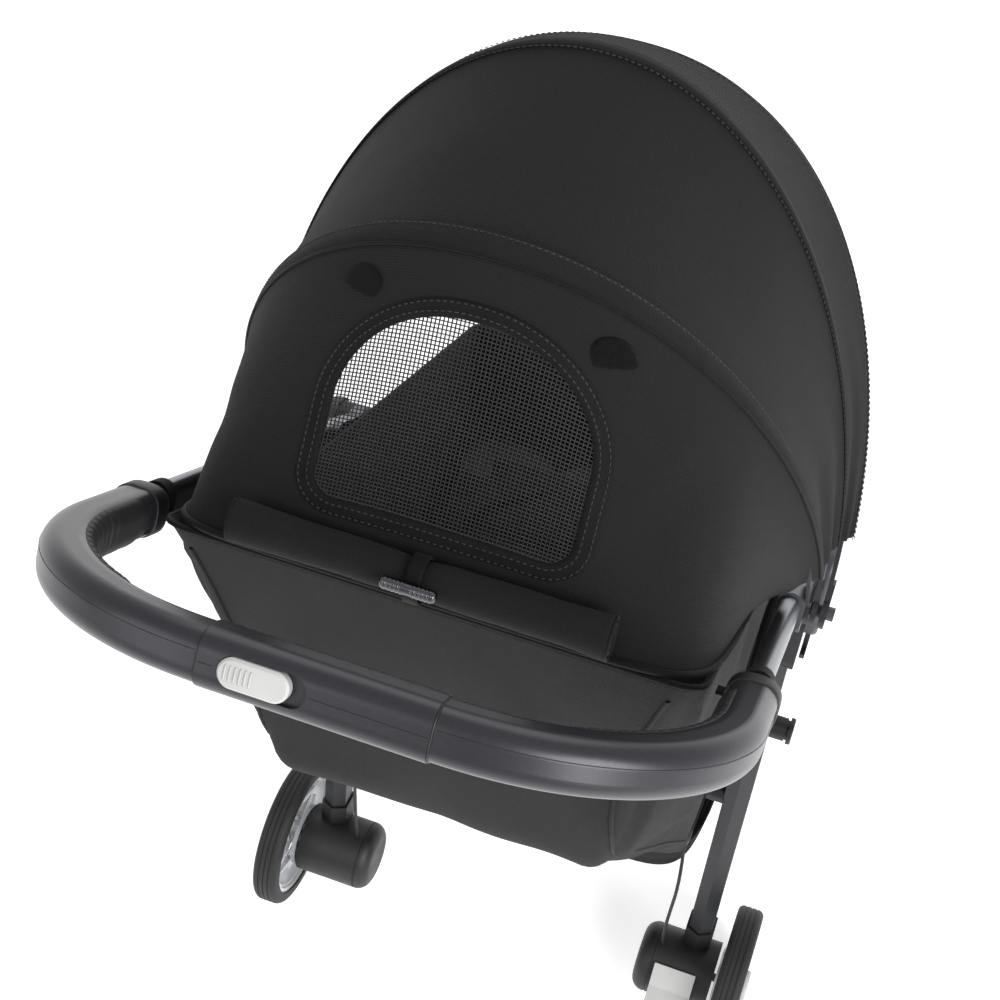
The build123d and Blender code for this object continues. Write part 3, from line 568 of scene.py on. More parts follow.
def stitches(name, lines, ups, finish="thread", size=None, step=None, closed=False):
    """Rows of stitches along lines that lie on the cloth."""
    sizes = bpy.context.scene.stroller_sizes
    size = size or (sizes.stitch, 0.0008, 0.0007)
    return run_tree(name, row_tree(), lines, finish,
                    {"Step": step or sizes.stitch_step, "Size": size, "Rounding": 0.3}, ups, closed)


# ---------------------------------------------------------------- canopy shape
def arch_radius(arch, x):
    """Height of an arch above the pivot at a place across it."""
    _, half, height, square = arch
    return height * max(0.0, 1 - abs(x / half) ** square) ** (1 / square)


def arch_line(arch, count=1200):
    """Dense (x, r) points of an arch, from its left foot over the crown to its right foot."""
    _, half, height, square = arch
    start = math.asin((CLOTH_START / height) ** (square / 2))
    line = []
    for t in np.linspace(start, math.pi - start, count):
        c = math.cos(t)
        line.append((half * math.copysign(abs(c) ** (2 / square), c), height * math.sin(t) ** (2 / square)))
    return np.array(line)


def lean(arch_or_angle):
    """Direction of an arch's plane from the pivot, seen from the side."""
    angle = math.radians(arch_or_angle if isinstance(arch_or_angle, float) else arch_or_angle[0])
    return np.array([0.0, math.cos(angle), math.sin(angle)])


def stand(line, angle):
    """Arch points (x, r) put in their leaning plane, in the frame."""
    line = np.asarray(line, float)
    return np.array(PIVOT) * [0, 1, 1] + line[:, :1] * [1.0, 0, 0] + line[:, 1:] * lean(angle)


def shared_points(arch, x_split=0.150, top=76, side=46):
    """Arch points that match from arch to arch: evenly across the top, evenly along each side."""
    line = arch_line(arch)
    left = even(np.vstack([line[line[:, 0] > x_split], (x_split, arch_radius(arch, x_split))]), side)
    right = left[::-1] * [-1, 1]
    middle = [(x, arch_radius(arch, x)) for x in np.linspace(x_split, -x_split, top)]
    return np.vstack([left[:-1], middle, right[1:]])


SIDE_POINTS = 46
TOP_POINTS = 76
REAR_DEPTH = float(np.linalg.norm(lean(SEAM_ARCH) * SEAM_ARCH[2] - lean(REAR_ARCH) * REAR_ARCH[2]))
INSIDE_CANOPY = (0.0, PIVOT.y, PIVOT.z + 0.15)


def rear_lift(x, up):
    """How far the rear cloth stands off its straight line between seam and hoop."""
    crease = bpy.context.scene.stroller_sizes.crease
    share = min(max(up / REAR_DEPTH, 0.0), 1.0)
    slack = math.sin(math.pi * share)
    drawn = math.sin(x * 95 + 9 * fold_noise((x, up, 0), 0.11, 3)) * max(0.0, abs(x) / 0.15 - 0.45)
    return slack * (crease * 0.55 * drawn + crease * 0.5 * fold_noise((x, up, 0), 0.06, 7) - crease * 0.6)


def rear_base(x, up):
    """Point of the rear cloth before creases, by place across it and distance above the seam."""
    share = up / REAR_DEPTH
    low = lean(SEAM_ARCH) * arch_radius(SEAM_ARCH, x)
    high = lean(REAR_ARCH) * arch_radius(REAR_ARCH, x)
    spot = low + (high - low) * share
    return np.array([x, PIVOT.y + spot[1], PIVOT.z + spot[2]])


def rear_normal(x, up):
    """Outward normal of the rear cloth."""
    step = 1.0 * MM
    across = rear_base(x + step, up) - rear_base(x - step, up)
    along = rear_base(x, up + step) - rear_base(x, up - step)
    normal = np.cross(across, along)
    normal /= np.linalg.norm(normal)
    return normal if normal[2] + normal[1] > 0 else -normal


def rear_point(x, up, off=0.0):
    """Point on the creased rear cloth, or a distance off it."""
    return rear_base(x, up) + rear_normal(x, up) * (rear_lift(x, up) + off)


WINDOW_HALF = 0.080
WINDOW_LOW = 0.042
WINDOW_SHOULDER = 0.100
WINDOW_RISE = 0.066
WINDOW_CORNER = 0.018


def window_outline(grow, count=220):
    """Closed D-shaped outline (x, up) of the window, grown evenly."""
    half, low, corner = WINDOW_HALF + grow, WINDOW_LOW - grow, WINDOW_CORNER + grow
    line = [(x, low) for x in np.linspace(-half + corner, half - corner, 40)]
    for a in np.linspace(-90, 0, 12):
        line.append((half - corner + corner * math.cos(math.radians(a)),
                     low + corner + corner * math.sin(math.radians(a))))
    for a in np.linspace(0, math.pi, 90):
        line.append((half * math.copysign(abs(math.cos(a)) ** 0.9, math.cos(a)),
                     WINDOW_SHOULDER + (WINDOW_RISE + grow) * math.sin(a) ** 0.9))
    for a in np.linspace(180, 270, 12):
        line.append((-half + corner + corner * math.cos(math.radians(a)),
                     low + corner + corner * math.sin(math.radians(a))))
    return even(line + [line[0]], count + 1)[:-1]


def in_window(x, up, grow):
    """Whether a place on the rear cloth lies inside the window's outline."""
    half = WINDOW_HALF + grow
    if abs(x) >= half or up <= WINDOW_LOW - grow:
        return False
    if up <= WINDOW_SHOULDER:
        corner = WINDOW_CORNER + grow
        dx, du = abs(x) - (half - corner), WINDOW_LOW - grow + corner - up
        return dx < 0 or du < 0 or dx * dx + du * du < corner * corner
    return (abs(x) / half) ** 2.22 + ((up - WINDOW_SHOULDER) / (WINDOW_RISE + grow)) ** 2.22 < 1


def on_rear(places, off=0.0):
    """Places (x, up) as points of the rear cloth."""
    return [rear_point(x, up, off) for x, up in places]


def ups_of(places):
    """Outward directions of the rear cloth at places (x, up)."""
    return [rear_normal(x, up) for x, up in places]


def blend_by_lean(piece, first, second, start_arch, end_arch):
    """Bake the cloth's place into its mesh and work out each point's share between two hoops by its lean about the
    canopy's pivot. The shares are not applied, so the cloth does not follow the hoops; first and second are not
    used.
    """
    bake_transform(piece)
    spots = np.array([v.co for v in piece.data.vertices], float)
    angles = np.degrees(np.arctan2(spots[:, 2] - PIVOT.z, spots[:, 1] - PIVOT.y))
    shares = np.clip((angles - start_arch[0]) / (end_arch[0] - start_arch[0]), 0, 1)
    shares = shares * shares * (3 - 2 * shares)
    return piece


# ---------------------------------------------------------------- canopy
class STROLLER_OT_canopy(bpy.types.Operator):
    """Draw the canopy cloth over its hoops, with piping, hem and stitching."""
    bl_idname = "stroller.canopy"
    bl_label = "Canopy"

    def execute(self, context):
        sizes = context.scene.stroller_sizes
        make_rear_cloth()
        make_roof("canopy_main_cloth", [REAR_ARCH, MID_ARCH], 60, ("handle", "canopy_mid"),
                  (REAR_ARCH, MID_ARCH), "canopy_main_panel")
        make_roof("canopy_front_cloth", [MID_ARCH, FRONT_ARCH, HEM_ARCH], 24, ("canopy_mid", "canopy_front"),
                  (MID_ARCH, FRONT_ARCH), "canopy_front_panel")
        make_hoop_trims(sizes)
        return {"FINISHED"}


def make_rear_cloth():
    """Rear cloth between the cabin seam and the rear hoop, with the window cut out of it."""
    rows = 52
    low, high = shared_points(SEAM_ARCH), shared_points(REAR_ARCH)
    low_line, high_line = stand(low, SEAM_ARCH[0]), stand(high, REAR_ARCH[0])
    shares = np.linspace(0, 1, rows)
    points = low_line[None] + (high_line - low_line)[None] * shares[:, None, None]
    outline = window_outline(1.0 * MM)
    places = np.full((rows, len(low), 2), 9.0)
    first, last = SIDE_POINTS - 1, SIDE_POINTS - 1 + TOP_POINTS
    for i, share in enumerate(shares):
        for j in range(first, last):
            places[i, j] = (low[j, 0], share * REAR_DEPTH)

    def cut(i, j):
        middle = places[i:i + 2, j:j + 2].reshape(-1, 2).mean(axis=0)
        return in_window(middle[0], middle[1], 1.0 * MM)

    dropped = {(i, j) for i in range(rows - 1) for j in range(first, last - 1) if cut(i, j)}
    for i in range(1, rows - 1):
        for j in range(first + 1, last - 1):
            around = [(i - 1, j - 1), (i - 1, j), (i, j - 1), (i, j)]
            if 0 < sum(face in dropped for face in around) < 4:
                nearest = outline[np.argmin(((outline - places[i, j]) ** 2).sum(axis=1))]
                places[i, j] = nearest
    normals = normals_of(points, INSIDE_CANOPY)
    for i in range(rows):
        for j in range(len(low)):
            if first <= j < last:
                points[i, j] = rear_point(*places[i, j])
            else:
                up = shares[i] * REAR_DEPTH
                points[i, j] += normals[i, j] * rear_lift(math.copysign(0.15, low[j, 0]), up)
    cloth = grid_piece("canopy_rear_cloth", points, "canopy", INSIDE_CANOPY,
                       drop=lambda i, j: (i, j) in dropped)
    place(thicken(cloth, CLOTH), "handle", "charcoal_fabric", "canopy_rear_panel")


def roof_points(arches, rows, count=190):
    """Grid of points of cloth drawn over neighbouring arches, sagging a little between them."""
    crease = bpy.context.scene.stroller_sizes.crease
    lines = [stand(even(arch_line(arch), count), arch[0]) for arch in arches]
    angles = [arch[0] for arch in arches]
    grid, slack = [], []
    for share in np.linspace(0, 1, rows):
        angle = angles[0] + (angles[-1] - angles[0]) * share
        k = max(i for i in range(len(angles) - 1) if angles[i] <= angle + 1e-6)
        part = (angle - angles[k]) / (angles[k + 1] - angles[k])
        grid.append(lines[k] + (lines[k + 1] - lines[k]) * part)
        slack.append(math.sin(math.pi * part) * (angles[k + 1] - angles[k]) / 30)
    grid = np.array(grid)
    normals = normals_of(grid, INSIDE_CANOPY)
    for i in range(rows):
        for j in range(count):
            foot = abs(2 * j / (count - 1) - 1)
            gathered = max(0.0, foot - 0.55) / 0.45
            share = i / (rows - 1)
            wave = math.sin(share * 15 + 2.5 * fold_noise((foot * 0.4, share * 0.1, j > count / 2), 0.09, 5))
            soft = fold_noise(grid[i, j], 0.07, 11)
            depth = crease * (1.3 * gathered * wave + 0.55 * soft - 1.0)
            grid[i, j] += normals[i, j] * depth * slack[i]
    return grid


def make_roof(name, arches, rows, bodies, ends, node):
    """One cloth panel between hoops."""
    roof = grid_piece(name, roof_points(arches, rows), "canopy", INSIDE_CANOPY)
    thicken(roof, CLOTH)
    blend_by_lean(roof, *bodies, *ends)
    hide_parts(node)


def arch_trim(arch, off, degrees=0.0, count=240):
    """Line along an arch, a distance off the cloth, and its outward directions."""
    line = even(arch_line(arch), count)
    flat = np.gradient(line, axis=0)
    out = np.stack([flat[:, 1], -flat[:, 0]], axis=1)
    out /= np.linalg.norm(out, axis=1, keepdims=True)
    out *= np.sign(np.sum(out * line, axis=1, keepdims=True))
    angle = arch[0] + degrees
    points = stand(line + out * off, angle)
    ups = out[:, :1] * [1.0, 0, 0] + out[:, 1:] * lean(angle)
    return points, ups


def ribbon_over(name, arch, degrees, thickness, finish, body, off=0.0):
    """Flat tape over a hoop's sleeve, from degrees behind the hoop to degrees in front of it."""
    low, high = degrees
    section = [(low, -0.6 * MM), (low, thickness * 0.7), ((low + high) / 2, thickness),
               (high, thickness * 0.7), (high, -0.6 * MM)]
    rows = [arch_trim(arch, off + rise, lean_by)[0] for lean_by, rise in section]
    tape = grid_piece(name, rows, finish, loop_rows=True)
    cap_ends(tape)
    return place(tape, body, "charcoal_fabric")


def cap_ends(piece):
    """Close the open ends of a tube-shaped mesh and point its faces outward."""
    shape = bmesh.new()
    shape.from_mesh(piece.data)
    rims = [e for e in shape.edges if e.is_boundary]
    bmesh.ops.holes_fill(shape, edges=rims, sides=0)
    bmesh.ops.recalc_face_normals(shape, faces=shape.faces)
    shape.to_mesh(piece.data)
    shape.free()


def make_hoop_trims(sizes):
    """Piping, hoop sleeves, hem tape and stitch lines of the canopy."""
    rear, _ = arch_trim(REAR_ARCH, sizes.piping * 0.6)
    place(cord_along("canopy_rear_piping", [rear], sizes.piping, "tape"), "handle", "charcoal_fabric")
    ribbon_over("canopy_rear_sleeve", REAR_ARCH, (0.12, 2.3), 1.9 * MM, "canopy", "handle")
    seam, _ = arch_trim(SEAM_ARCH, 1.0 * MM)
    place(cord_along("canopy_seam_piping", [seam], 2.4 * MM, "tape"), "handle", "charcoal_fabric")
    ribbon_over("canopy_mid_sleeve", MID_ARCH, (-1.0, 0.6), 1.3 * MM, "canopy", "canopy_mid")
    ribbon_over("canopy_hem_tape", HEM_ARCH, (-1.7, 0.35), 1.2 * MM, "tape", "canopy_front")
    for name, arch, degrees, body in (("canopy_hem_stitches", HEM_ARCH, -1.3, "canopy_front"),
                                      ("canopy_front_stitches", FRONT_ARCH, -1.2, "canopy_front"),
                                      ("canopy_mid_stitches", MID_ARCH, -1.4, "canopy_mid"),
                                      ("canopy_rear_stitches", REAR_ARCH, 2.05, "handle")):
        line, ups = arch_trim(arch, 1.6 * MM if "hem" in name or "rear" in name else 0.5 * MM, degrees)
        place(stitches(name, [line], [ups]), body, "charcoal_fabric")


# ---------------------------------------------------------------- rear window
class STROLLER_OT_window(bpy.types.Operator):
    """Fill the rear window with wire-fine net and bind its edge."""
    bl_idname = "stroller.window"
    bl_label = "Rear window"

    def execute(self, context):
        sizes = context.scene.stroller_sizes
        make_net(sizes.net_pitch, sizes.net_wire)
        make_window_binding()
        make_patches()
        make_zip()
        return {"FINISHED"}


def make_net(pitch, wire):
    """Square net of round threads that runs under the window's binding."""
    lines = []
    reach = 3.0 * MM
    top = WINDOW_SHOULDER + WINDOW_RISE + reach
    columns = int((WINDOW_HALF + reach) / pitch)
    for k in range(-columns, columns + 1):
        ups = np.arange(WINDOW_LOW - reach, top, pitch)
        held = [(k * pitch, up) for up in ups if in_window(k * pitch, up, reach)]
        if len(held) > 1:
            lines.append(on_rear(held, -1.0 * MM))
    for up in np.arange(WINDOW_LOW - reach + pitch / 2, top, pitch):
        held = [(k * pitch, up) for k in range(-columns, columns + 1) if in_window(k * pitch, up, reach)]
        if len(held) > 1:
            lines.append(on_rear(held, -1.0 * MM + wire * 0.8))
    net = cord_along("window_net", lines, wire, "net", sides=4)
    place(net, "handle", "black_mesh", "window_mesh")


def make_window_binding():
    """Folded tape around the window with two rows of stitches."""
    section = [(-2.0, -2.6), (-2.4, -0.6), (-1.6, 1.0), (1.5, 1.5), (3.6, 1.0), (5.6, 1.5), (8.4, 1.1),
               (9.2, -0.4), (8.6, -1.0)]
    outline_points = [window_outline(grow * MM) for grow, _ in section]
    rows = [on_rear(line, off * MM) for line, (_, off) in zip(outline_points, section)]
    binding = grid_piece("window_binding", rows, "tape", loop_rows=True, loop_columns=True)
    recalculate(binding)
    place(binding, "handle", "charcoal_fabric")
    for name, grow in (("window_stitches_inner", 1.5), ("window_stitches_outer", 7.0)):
        line = window_outline(grow * MM)
        row = stitches(name, [on_rear(line, 1.6 * MM)], [ups_of(line)], closed=True)
        place(row, "handle", "charcoal_fabric")


PATCH_POINTS = 56
PATCH_RISE = (1.9, 1.9, 1.9, 1.9, 1.9, 1.9, 1.8, 1.5, 0.0)


def make_patches():
    """Two half-round patches of loop tape that hold the flap when the window is shut."""
    around = np.linspace(0, 2 * math.pi, PATCH_POINTS + 1)[:-1]
    rings = np.linspace(0.0, 1.0, len(PATCH_RISE) + 1)[1:]
    for name, x, up, turn in (("flap_patch_left", 0.071, 0.1765, 118.0),
                              ("flap_patch_right", -0.074, 0.1745, 62.0)):
        rows = [[patch_place(x, up, turn, a, ring) for a in around] for ring in rings]
        grid = [on_rear(row, rise * MM) for row, rise in zip(rows, PATCH_RISE)]
        patch = grid_piece(name, grid, "pile", loop_columns=True)
        cap_ends(patch)
        place(patch, "handle", "charcoal_fabric")


def patch_place(x, up, turn, a, size):
    """Place (x, up) on the outline of a half-round patch: round on one side, nearly flat on the other."""
    c, s = math.cos(a), math.sin(a)
    across = 13.5 * MM * math.copysign(abs(c) ** 0.8, c)
    deep = (11.0 * MM if s > 0 else 7.0 * MM) * math.copysign(abs(s) ** (1.0 if s > 0 else 0.35), s)
    lean_by = math.radians(turn - 90)
    return (x + size * (across * math.cos(lean_by) - deep * math.sin(lean_by)),
            up + size * (across * math.sin(lean_by) + deep * math.cos(lean_by)))


def make_zip():
    """Zip between the cabin and the canopy, under the flap: tape, two coils of teeth."""
    lines, ups = [], []
    for up in (9.0 * MM, 11.2 * MM):
        places = [(x, up) for x in np.linspace(-0.108, 0.108, 70)]
        lines.append(on_rear(places, 1.2 * MM))
        ups.append(ups_of(places))
    teeth = run_tree("zip_teeth", row_tree(), lines, "black",
                     {"Step": 1.8 * MM, "Size": (1.1 * MM, 2.4 * MM, 1.2 * MM), "Rounding": 0.3}, ups)
    place(teeth, "handle", "charcoal_fabric")
    rows = []
    for up, off in ((4, -0.8), (4, 0.7), (10, 0.9), (16, 0.7), (16, -0.8)):
        rows.append(on_rear([(x, up * MM) for x in np.linspace(-0.112, 0.112, 80)], off * MM))
    tape = grid_piece("zip_tape", rows, "tape", loop_rows=True)
    cap_ends(tape)
    place(tape, "handle", "charcoal_fabric")


# ---------------------------------------------------------------- rolled window flap
FLAP_HALF = 0.113


class STROLLER_OT_flap(bpy.types.Operator):
    """Roll up the window flap under its elastic loop and metal toggle."""
    bl_idname = "stroller.flap"
    bl_label = "Rolled flap"

    def execute(self, context):
        low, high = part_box("window_flap")
        centre = np.array((low + high) / 2)
        cloth_up = rear_base(0, 0.05) - rear_base(0, 0.0)
        cloth_up /= np.linalg.norm(cloth_up)
        off = rear_normal(0, 0.02)
        make_roll(centre, cloth_up, off)
        make_elastic(centre, cloth_up, off)
        make_toggle()
        return {"FINISHED"}


def roll_section(x, centre, cloth_up, off):
    """Spiral of the rolled flap at one place along it, from the seam to its free edge."""
    turns, count = 2.7, 84
    pinch = 1 - 0.16 * math.exp(-(x / 0.012) ** 2)
    flare = 1 + 0.10 * (abs(x) / FLAP_HALF) ** 4
    sag = 1.6 * MM * fold_noise((x, 0, 0), 0.05, 2)
    seam_start = rear_point(x, 1.0 * MM, 1.2 * MM)
    line = [seam_start + (centre - off * 10.0 * MM - seam_start) * [0, 1, 1] * s for s in (0.0, 0.35, 0.7)]
    for i in range(count):
        turn = -math.pi / 2 + turns * 2 * math.pi * i / (count - 1)
        keep = 1 - 0.74 * (i / (count - 1)) ** 0.92
        keep *= 1 + 0.05 * fold_noise((x, i * 0.004, 0), 0.03, 6)
        spot = centre + cloth_up * (13.5 * MM * keep * pinch * flare * math.cos(turn))
        spot = spot + off * (10.6 * MM * keep * pinch * flare * math.sin(turn) + sag * (1 - keep * 0.5))
        line.append(np.array([x, spot[1], spot[2]]))
    return line


def make_roll(centre, cloth_up, off):
    """The flap's cloth, rolled up, with its bound edges."""
    stations = np.linspace(-FLAP_HALF, FLAP_HALF, 84)
    grid = [roll_section(x, centre, cloth_up, off) for x in stations]
    roll = grid_piece("window_flap_roll", grid, "canopy")
    roll.modifiers.new("Thickness", "SOLIDIFY").thickness = 1.2 * MM
    roll.modifiers["Thickness"].offset = 0
    bake(roll)
    place(roll, "handle", "charcoal_fabric", "window_flap")
    for name, line in (("flap_edge_left", grid[-1]), ("flap_edge_right", grid[0])):
        place(cord_along(name, [line], 0.9 * MM, "tape"), "handle", "charcoal_fabric")


def make_elastic(centre, cloth_up, off):
    """Elastic loop around the middle of the roll."""
    rows = []
    for x in np.linspace(-4.5 * MM, 4.5 * MM, 5):
        ring = []
        for a in np.linspace(0, 2 * math.pi, 49)[:-1]:
            spot = centre + cloth_up * 13.4 * MM * math.cos(a) + off * 10.8 * MM * math.sin(a)
            ring.append((x, spot[1], spot[2]))
        rows.append(ring)
    band = grid_piece("flap_elastic", rows, "tape", tuple(centre), loop_columns=True)
    wall = band.modifiers.new("Thickness", "SOLIDIFY")
    wall.thickness, wall.offset = 1.3 * MM, 1
    place(bake(band), "handle", "charcoal_fabric")


def make_toggle():
    """Ribbed metal toggle bar that the elastic loop hooks over."""
    low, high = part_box("flap_toggle")
    centre = np.array((low + high) / 2)
    half, radius = (high.x - low.x) / 2, (high.z - low.z) / 2
    profile = []
    for s in np.linspace(-1, 1, 121):
        end = math.sqrt(max(0.0, 1 - max(0.0, (abs(s) - 0.86) / 0.14) ** 2))
        rib = 0.86 + 0.14 * abs(math.sin(s * 14 * math.pi / 2)) ** 0.5 if 0.12 < abs(s) < 0.88 else 0.9
        profile.append((s * half, radius * max(end, 0.02) * rib))
    rows = []
    for x, r in profile:
        rows.append([(x, centre[1] + r * math.cos(a), centre[2] + r * math.sin(a))
                     for a in np.linspace(0, 2 * math.pi, 25)[:-1]])
    bar = grid_piece("flap_toggle_bar", rows, "gunmetal", tuple(centre), loop_columns=True)
    cap_ends(bar)
    place(bar, "handle", "pin_steel", "flap_toggle")


# ---------------------------------------------------------------- cabin
RIM_REAR = Vector((0, HINGE.y + 0.281, 0.880))
RIM_MIDDLE = Vector((0, HINGE.y + 0.134, 0.711))
RIM_FRONT = Vector((0, HINGE.y - 0.214, 0.450))
BAG_CORNER = Vector((0, HINGE.y + 0.309, 0.600))
FLOOR_REAR = Vector((0, HINGE.y + 0.189, 0.352))
FLOOR_FRONT = Vector((0, HINGE.y - 0.169, 0.352))
BAG_HALF = 0.167
CORNER_HALF = 0.127


class STROLLER_OT_cabin(bpy.types.Operator):
    """Sew the cabin: one soft shell from the canopy seam, down the back and under the floor to the front."""
    bl_idname = "stroller.cabin"
    bl_label = "Cabin cloth"

    def execute(self, context):
        make_bag()
        make_front_pad()
        return {"FINISHED"}


def ray_reach(centre, direction, first, second):
    """Distance from a side-view point to a side-view line along a direction, or None."""
    ey, ez = second.y - first.y, second.z - first.z
    det = direction[0] * ez - direction[1] * ey
    if abs(det) < 1e-9:
        return None
    gap_y, gap_z = first.y - centre.y, first.z - centre.z
    reach = (gap_y * ez - gap_z * ey) / det
    share = (gap_y * direction[1] - gap_z * direction[0]) / det
    return reach if reach > 0 and -1e-6 <= share <= 1 + 1e-6 else None


def bag_profile(count):
    """Side-view stations of the bag: reach of its outer wall and of its straight side, by direction."""
    walls = [RIM_REAR, BAG_CORNER, FLOOR_REAR, FLOOR_FRONT, RIM_FRONT]
    line = even([(p.y, p.z) for p in walls], count)
    rounded = line.copy()
    for _ in range(14):
        rounded[1:-1] = (rounded[:-2] + rounded[1:-1] * 2 + rounded[2:]) / 4
    stations = []
    for y, z in rounded:
        away = np.array([y - RIM_MIDDLE.y, z - RIM_MIDDLE.z])
        reach = float(np.linalg.norm(away))
        away = away / reach
        straight = ray_reach(RIM_MIDDLE, away, RIM_REAR, FLOOR_REAR)
        stations.append((away, reach, min(straight, reach) if straight else reach))
    return stations


def make_bag():
    """The bag as sections that turn about the middle of the rim: side, rounded corner, wall, corner, side."""
    crease = bpy.context.scene.stroller_sizes.bag_crease
    stations = bag_profile(150)
    deepest = max(reach - straight for _, reach, straight in stations)
    side, wall, corner = 26, 46, 0.020
    grid = []
    for away, reach, straight in stations:
        half = BAG_HALF - (BAG_HALF - CORNER_HALF) * (reach - straight) / deepest
        flat = []
        for s in np.linspace(0.02, 1, side):
            r = (reach - corner) * s
            beyond = max(0.0, (r - straight) / max(deepest, 1e-6)) if reach > straight else 0.0
            flat.append((BAG_HALF - (BAG_HALF - CORNER_HALF) * min(beyond, 1.0) - 0.2 * MM, r))
        for a in np.linspace(15, 75, 5):
            turn = math.radians(a)
            flat.append((half - corner + corner * math.cos(turn), reach - corner + corner * math.sin(turn)))
        for x in np.linspace(half - corner, 0, wall // 2):
            flat.append((x, reach))
        line = even(flat, side + wall // 2 + 8)
        full = [(x, r) for x, r in line] + [(-x, r) for x, r in line[-2::-1]]
        grid.append([(x, RIM_MIDDLE.y + away[0] * r, RIM_MIDDLE.z + away[1] * r) for x, r in full])
    grid = np.array(grid)
    inside = (0, HINGE.y + 0.05, 0.50)
    normals = normals_of(grid, inside)
    rows, columns = grid.shape[:2]
    for i in range(rows):
        end = min(i, rows - 1 - i) / rows * 7
        for j in range(columns):
            rim = min(j, columns - 1 - j) / columns * 9
            held = min(1.0, end) * min(1.0, rim)
            p = grid[i, j]
            broad = fold_noise(p, 0.11, 4)
            drawn = math.sin((p[2] * 0.8 + abs(p[0]) * 1.2) * 48 + 3.2 * fold_noise(p, 0.09, 8))
            depth = held * crease * (0.75 * broad + 0.35 * drawn - 0.75)
            grid[i, j] = p + normals[i, j] * depth
    bag = grid_piece("cabin_bag", grid, "bag", inside)
    bag.data.materials.append(finishes["lining"])
    wall_of = bag.modifiers.new("Thickness", "SOLIDIFY")
    wall_of.thickness, wall_of.offset, wall_of.material_offset = 2.4 * MM, -1, 1
    wall_of.use_rim = True
    bake(bag)
    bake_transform(bag)
    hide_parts("cabin_back", "cabin_sides")
    make_bag_trims(grid)


def make_bag_trims(grid):
    """Bound rims and corner seams of the bag."""
    columns = grid.shape[1]
    seam = int(columns * 0.30)
    names = (("cabin_rim_binding", [grid[:, 0], grid[:, -1]], 2.2 * MM),
             ("cabin_corner_piping", [grid[3:-3, seam], grid[3:-3, -1 - seam]], 1.5 * MM),
             ("cabin_rear_binding", [grid[0]], 1.8 * MM))
    for name, lines, radius in names:
        trim = cord_along(name, lines, radius, "tape")
        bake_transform(trim)


def make_front_pad():
    """Padded front wall in three channels, over the low front of the cabin."""
    low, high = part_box("cabin_front")
    foot, top = Vector((0, FLOOR_FRONT.y, FLOOR_FRONT.z)), Vector((0, RIM_FRONT.y, RIM_FRONT.z))
    rise = top - foot
    inward = Vector((0, rise.z, -rise.y)).normalized()
    half, thick = high.x - 1.0 * MM, 12 * MM
    grid = []
    for s in np.linspace(0, 1, 44):
        channel = abs(math.sin(math.pi * min(s, 0.999) * 3)) ** 0.45
        body = 0.30 + 0.70 * channel
        ring = []
        for a in np.linspace(0, 2 * math.pi, 73)[:-1]:
            across = math.copysign(abs(math.cos(a)) ** 0.32, math.cos(a)) * half
            deep = (math.copysign(abs(math.sin(a)) ** 0.6, math.sin(a)) * 0.5 * body + 0.5) * thick
            soft = 0.7 * MM * fold_noise((across, s * 0.1, deep), 0.03, 9)
            spot = foot + rise * (0.02 + 0.97 * s) + inward * (deep + soft)
            ring.append((across, spot.y, spot.z))
        grid.append(ring)
    pad = grid_piece("cabin_front_pad", grid, "lining", loop_columns=True)
    cap_ends(pad)
    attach(pad, "frame")
    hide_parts("cabin_front")


# ---------------------------------------------------------------- cushion and tether
class STROLLER_OT_cushion(bpy.types.Operator):
    """Stuff the cabin's cushion and lay the safety tether on it."""
    bl_idname = "stroller.cushion"
    bl_label = "Cushion and tether"

    def execute(self, context):
        make_cushion(context)
        make_tether()
        return {"FINISHED"}


def rounded_box(name, low, high, round_xy, finish):
    """Closed box with rounded corners in plan and soft top and bottom edges."""
    shape = bmesh.new()
    bmesh.ops.create_cube(shape, size=1.0)
    size, centre = high - low, (high + low) / 2
    bmesh.ops.scale(shape, vec=size, verts=shape.verts)
    upright = [e for e in shape.edges if abs(e.verts[0].co.z - e.verts[1].co.z) > size.z / 2]
    bmesh.ops.bevel(shape, geom=upright, offset=round_xy, segments=5, affect="EDGES")
    flat = [e for e in shape.edges
            if abs(e.verts[0].co.z - e.verts[1].co.z) < 1e-6 and e.calc_face_angle(0) > 1]
    bmesh.ops.bevel(shape, geom=flat, offset=size.z * 0.3, segments=3, affect="EDGES")
    bmesh.ops.translate(shape, vec=centre, verts=shape.verts)
    mesh = bpy.data.meshes.new(name)
    shape.to_mesh(mesh)
    shape.free()
    mesh.materials.append(finishes[finish])
    piece = link(name, mesh)
    smooth(piece)
    return piece


def remesh(piece, voxel):
    """Rebuild a piece from even voxels."""
    change = piece.modifiers.new("Voxels", "REMESH")
    change.mode, change.voxel_size = "VOXEL", voxel
    return bake(piece)


def stuff(piece, cap, pressure=4.0, frames=20):
    """Swell a closed piece by cloth simulation, no point further than the cap."""
    scene = bpy.context.scene
    rest = np.array([v.co for v in piece.data.vertices])
    cloth = piece.modifiers.new("Stuffing", "CLOTH")
    cloth.settings.use_pressure = True
    cloth.settings.uniform_pressure_force = pressure
    cloth.settings.effector_weights.gravity = 0
    for step in range(1, frames + 1):
        scene.frame_set(step)
    graph = bpy.context.evaluated_depsgraph_get()
    swollen = np.array([v.co for v in piece.evaluated_get(graph).data.vertices])
    piece.modifiers.remove(cloth)
    scene.frame_set(1)
    move = swollen - rest
    far = np.linalg.norm(move, axis=1, keepdims=True)
    rest += move * np.minimum(1.0, cap / np.maximum(far, 1e-9))
    piece.data.vertices.foreach_set("co", rest.ravel())
    piece.data.update()


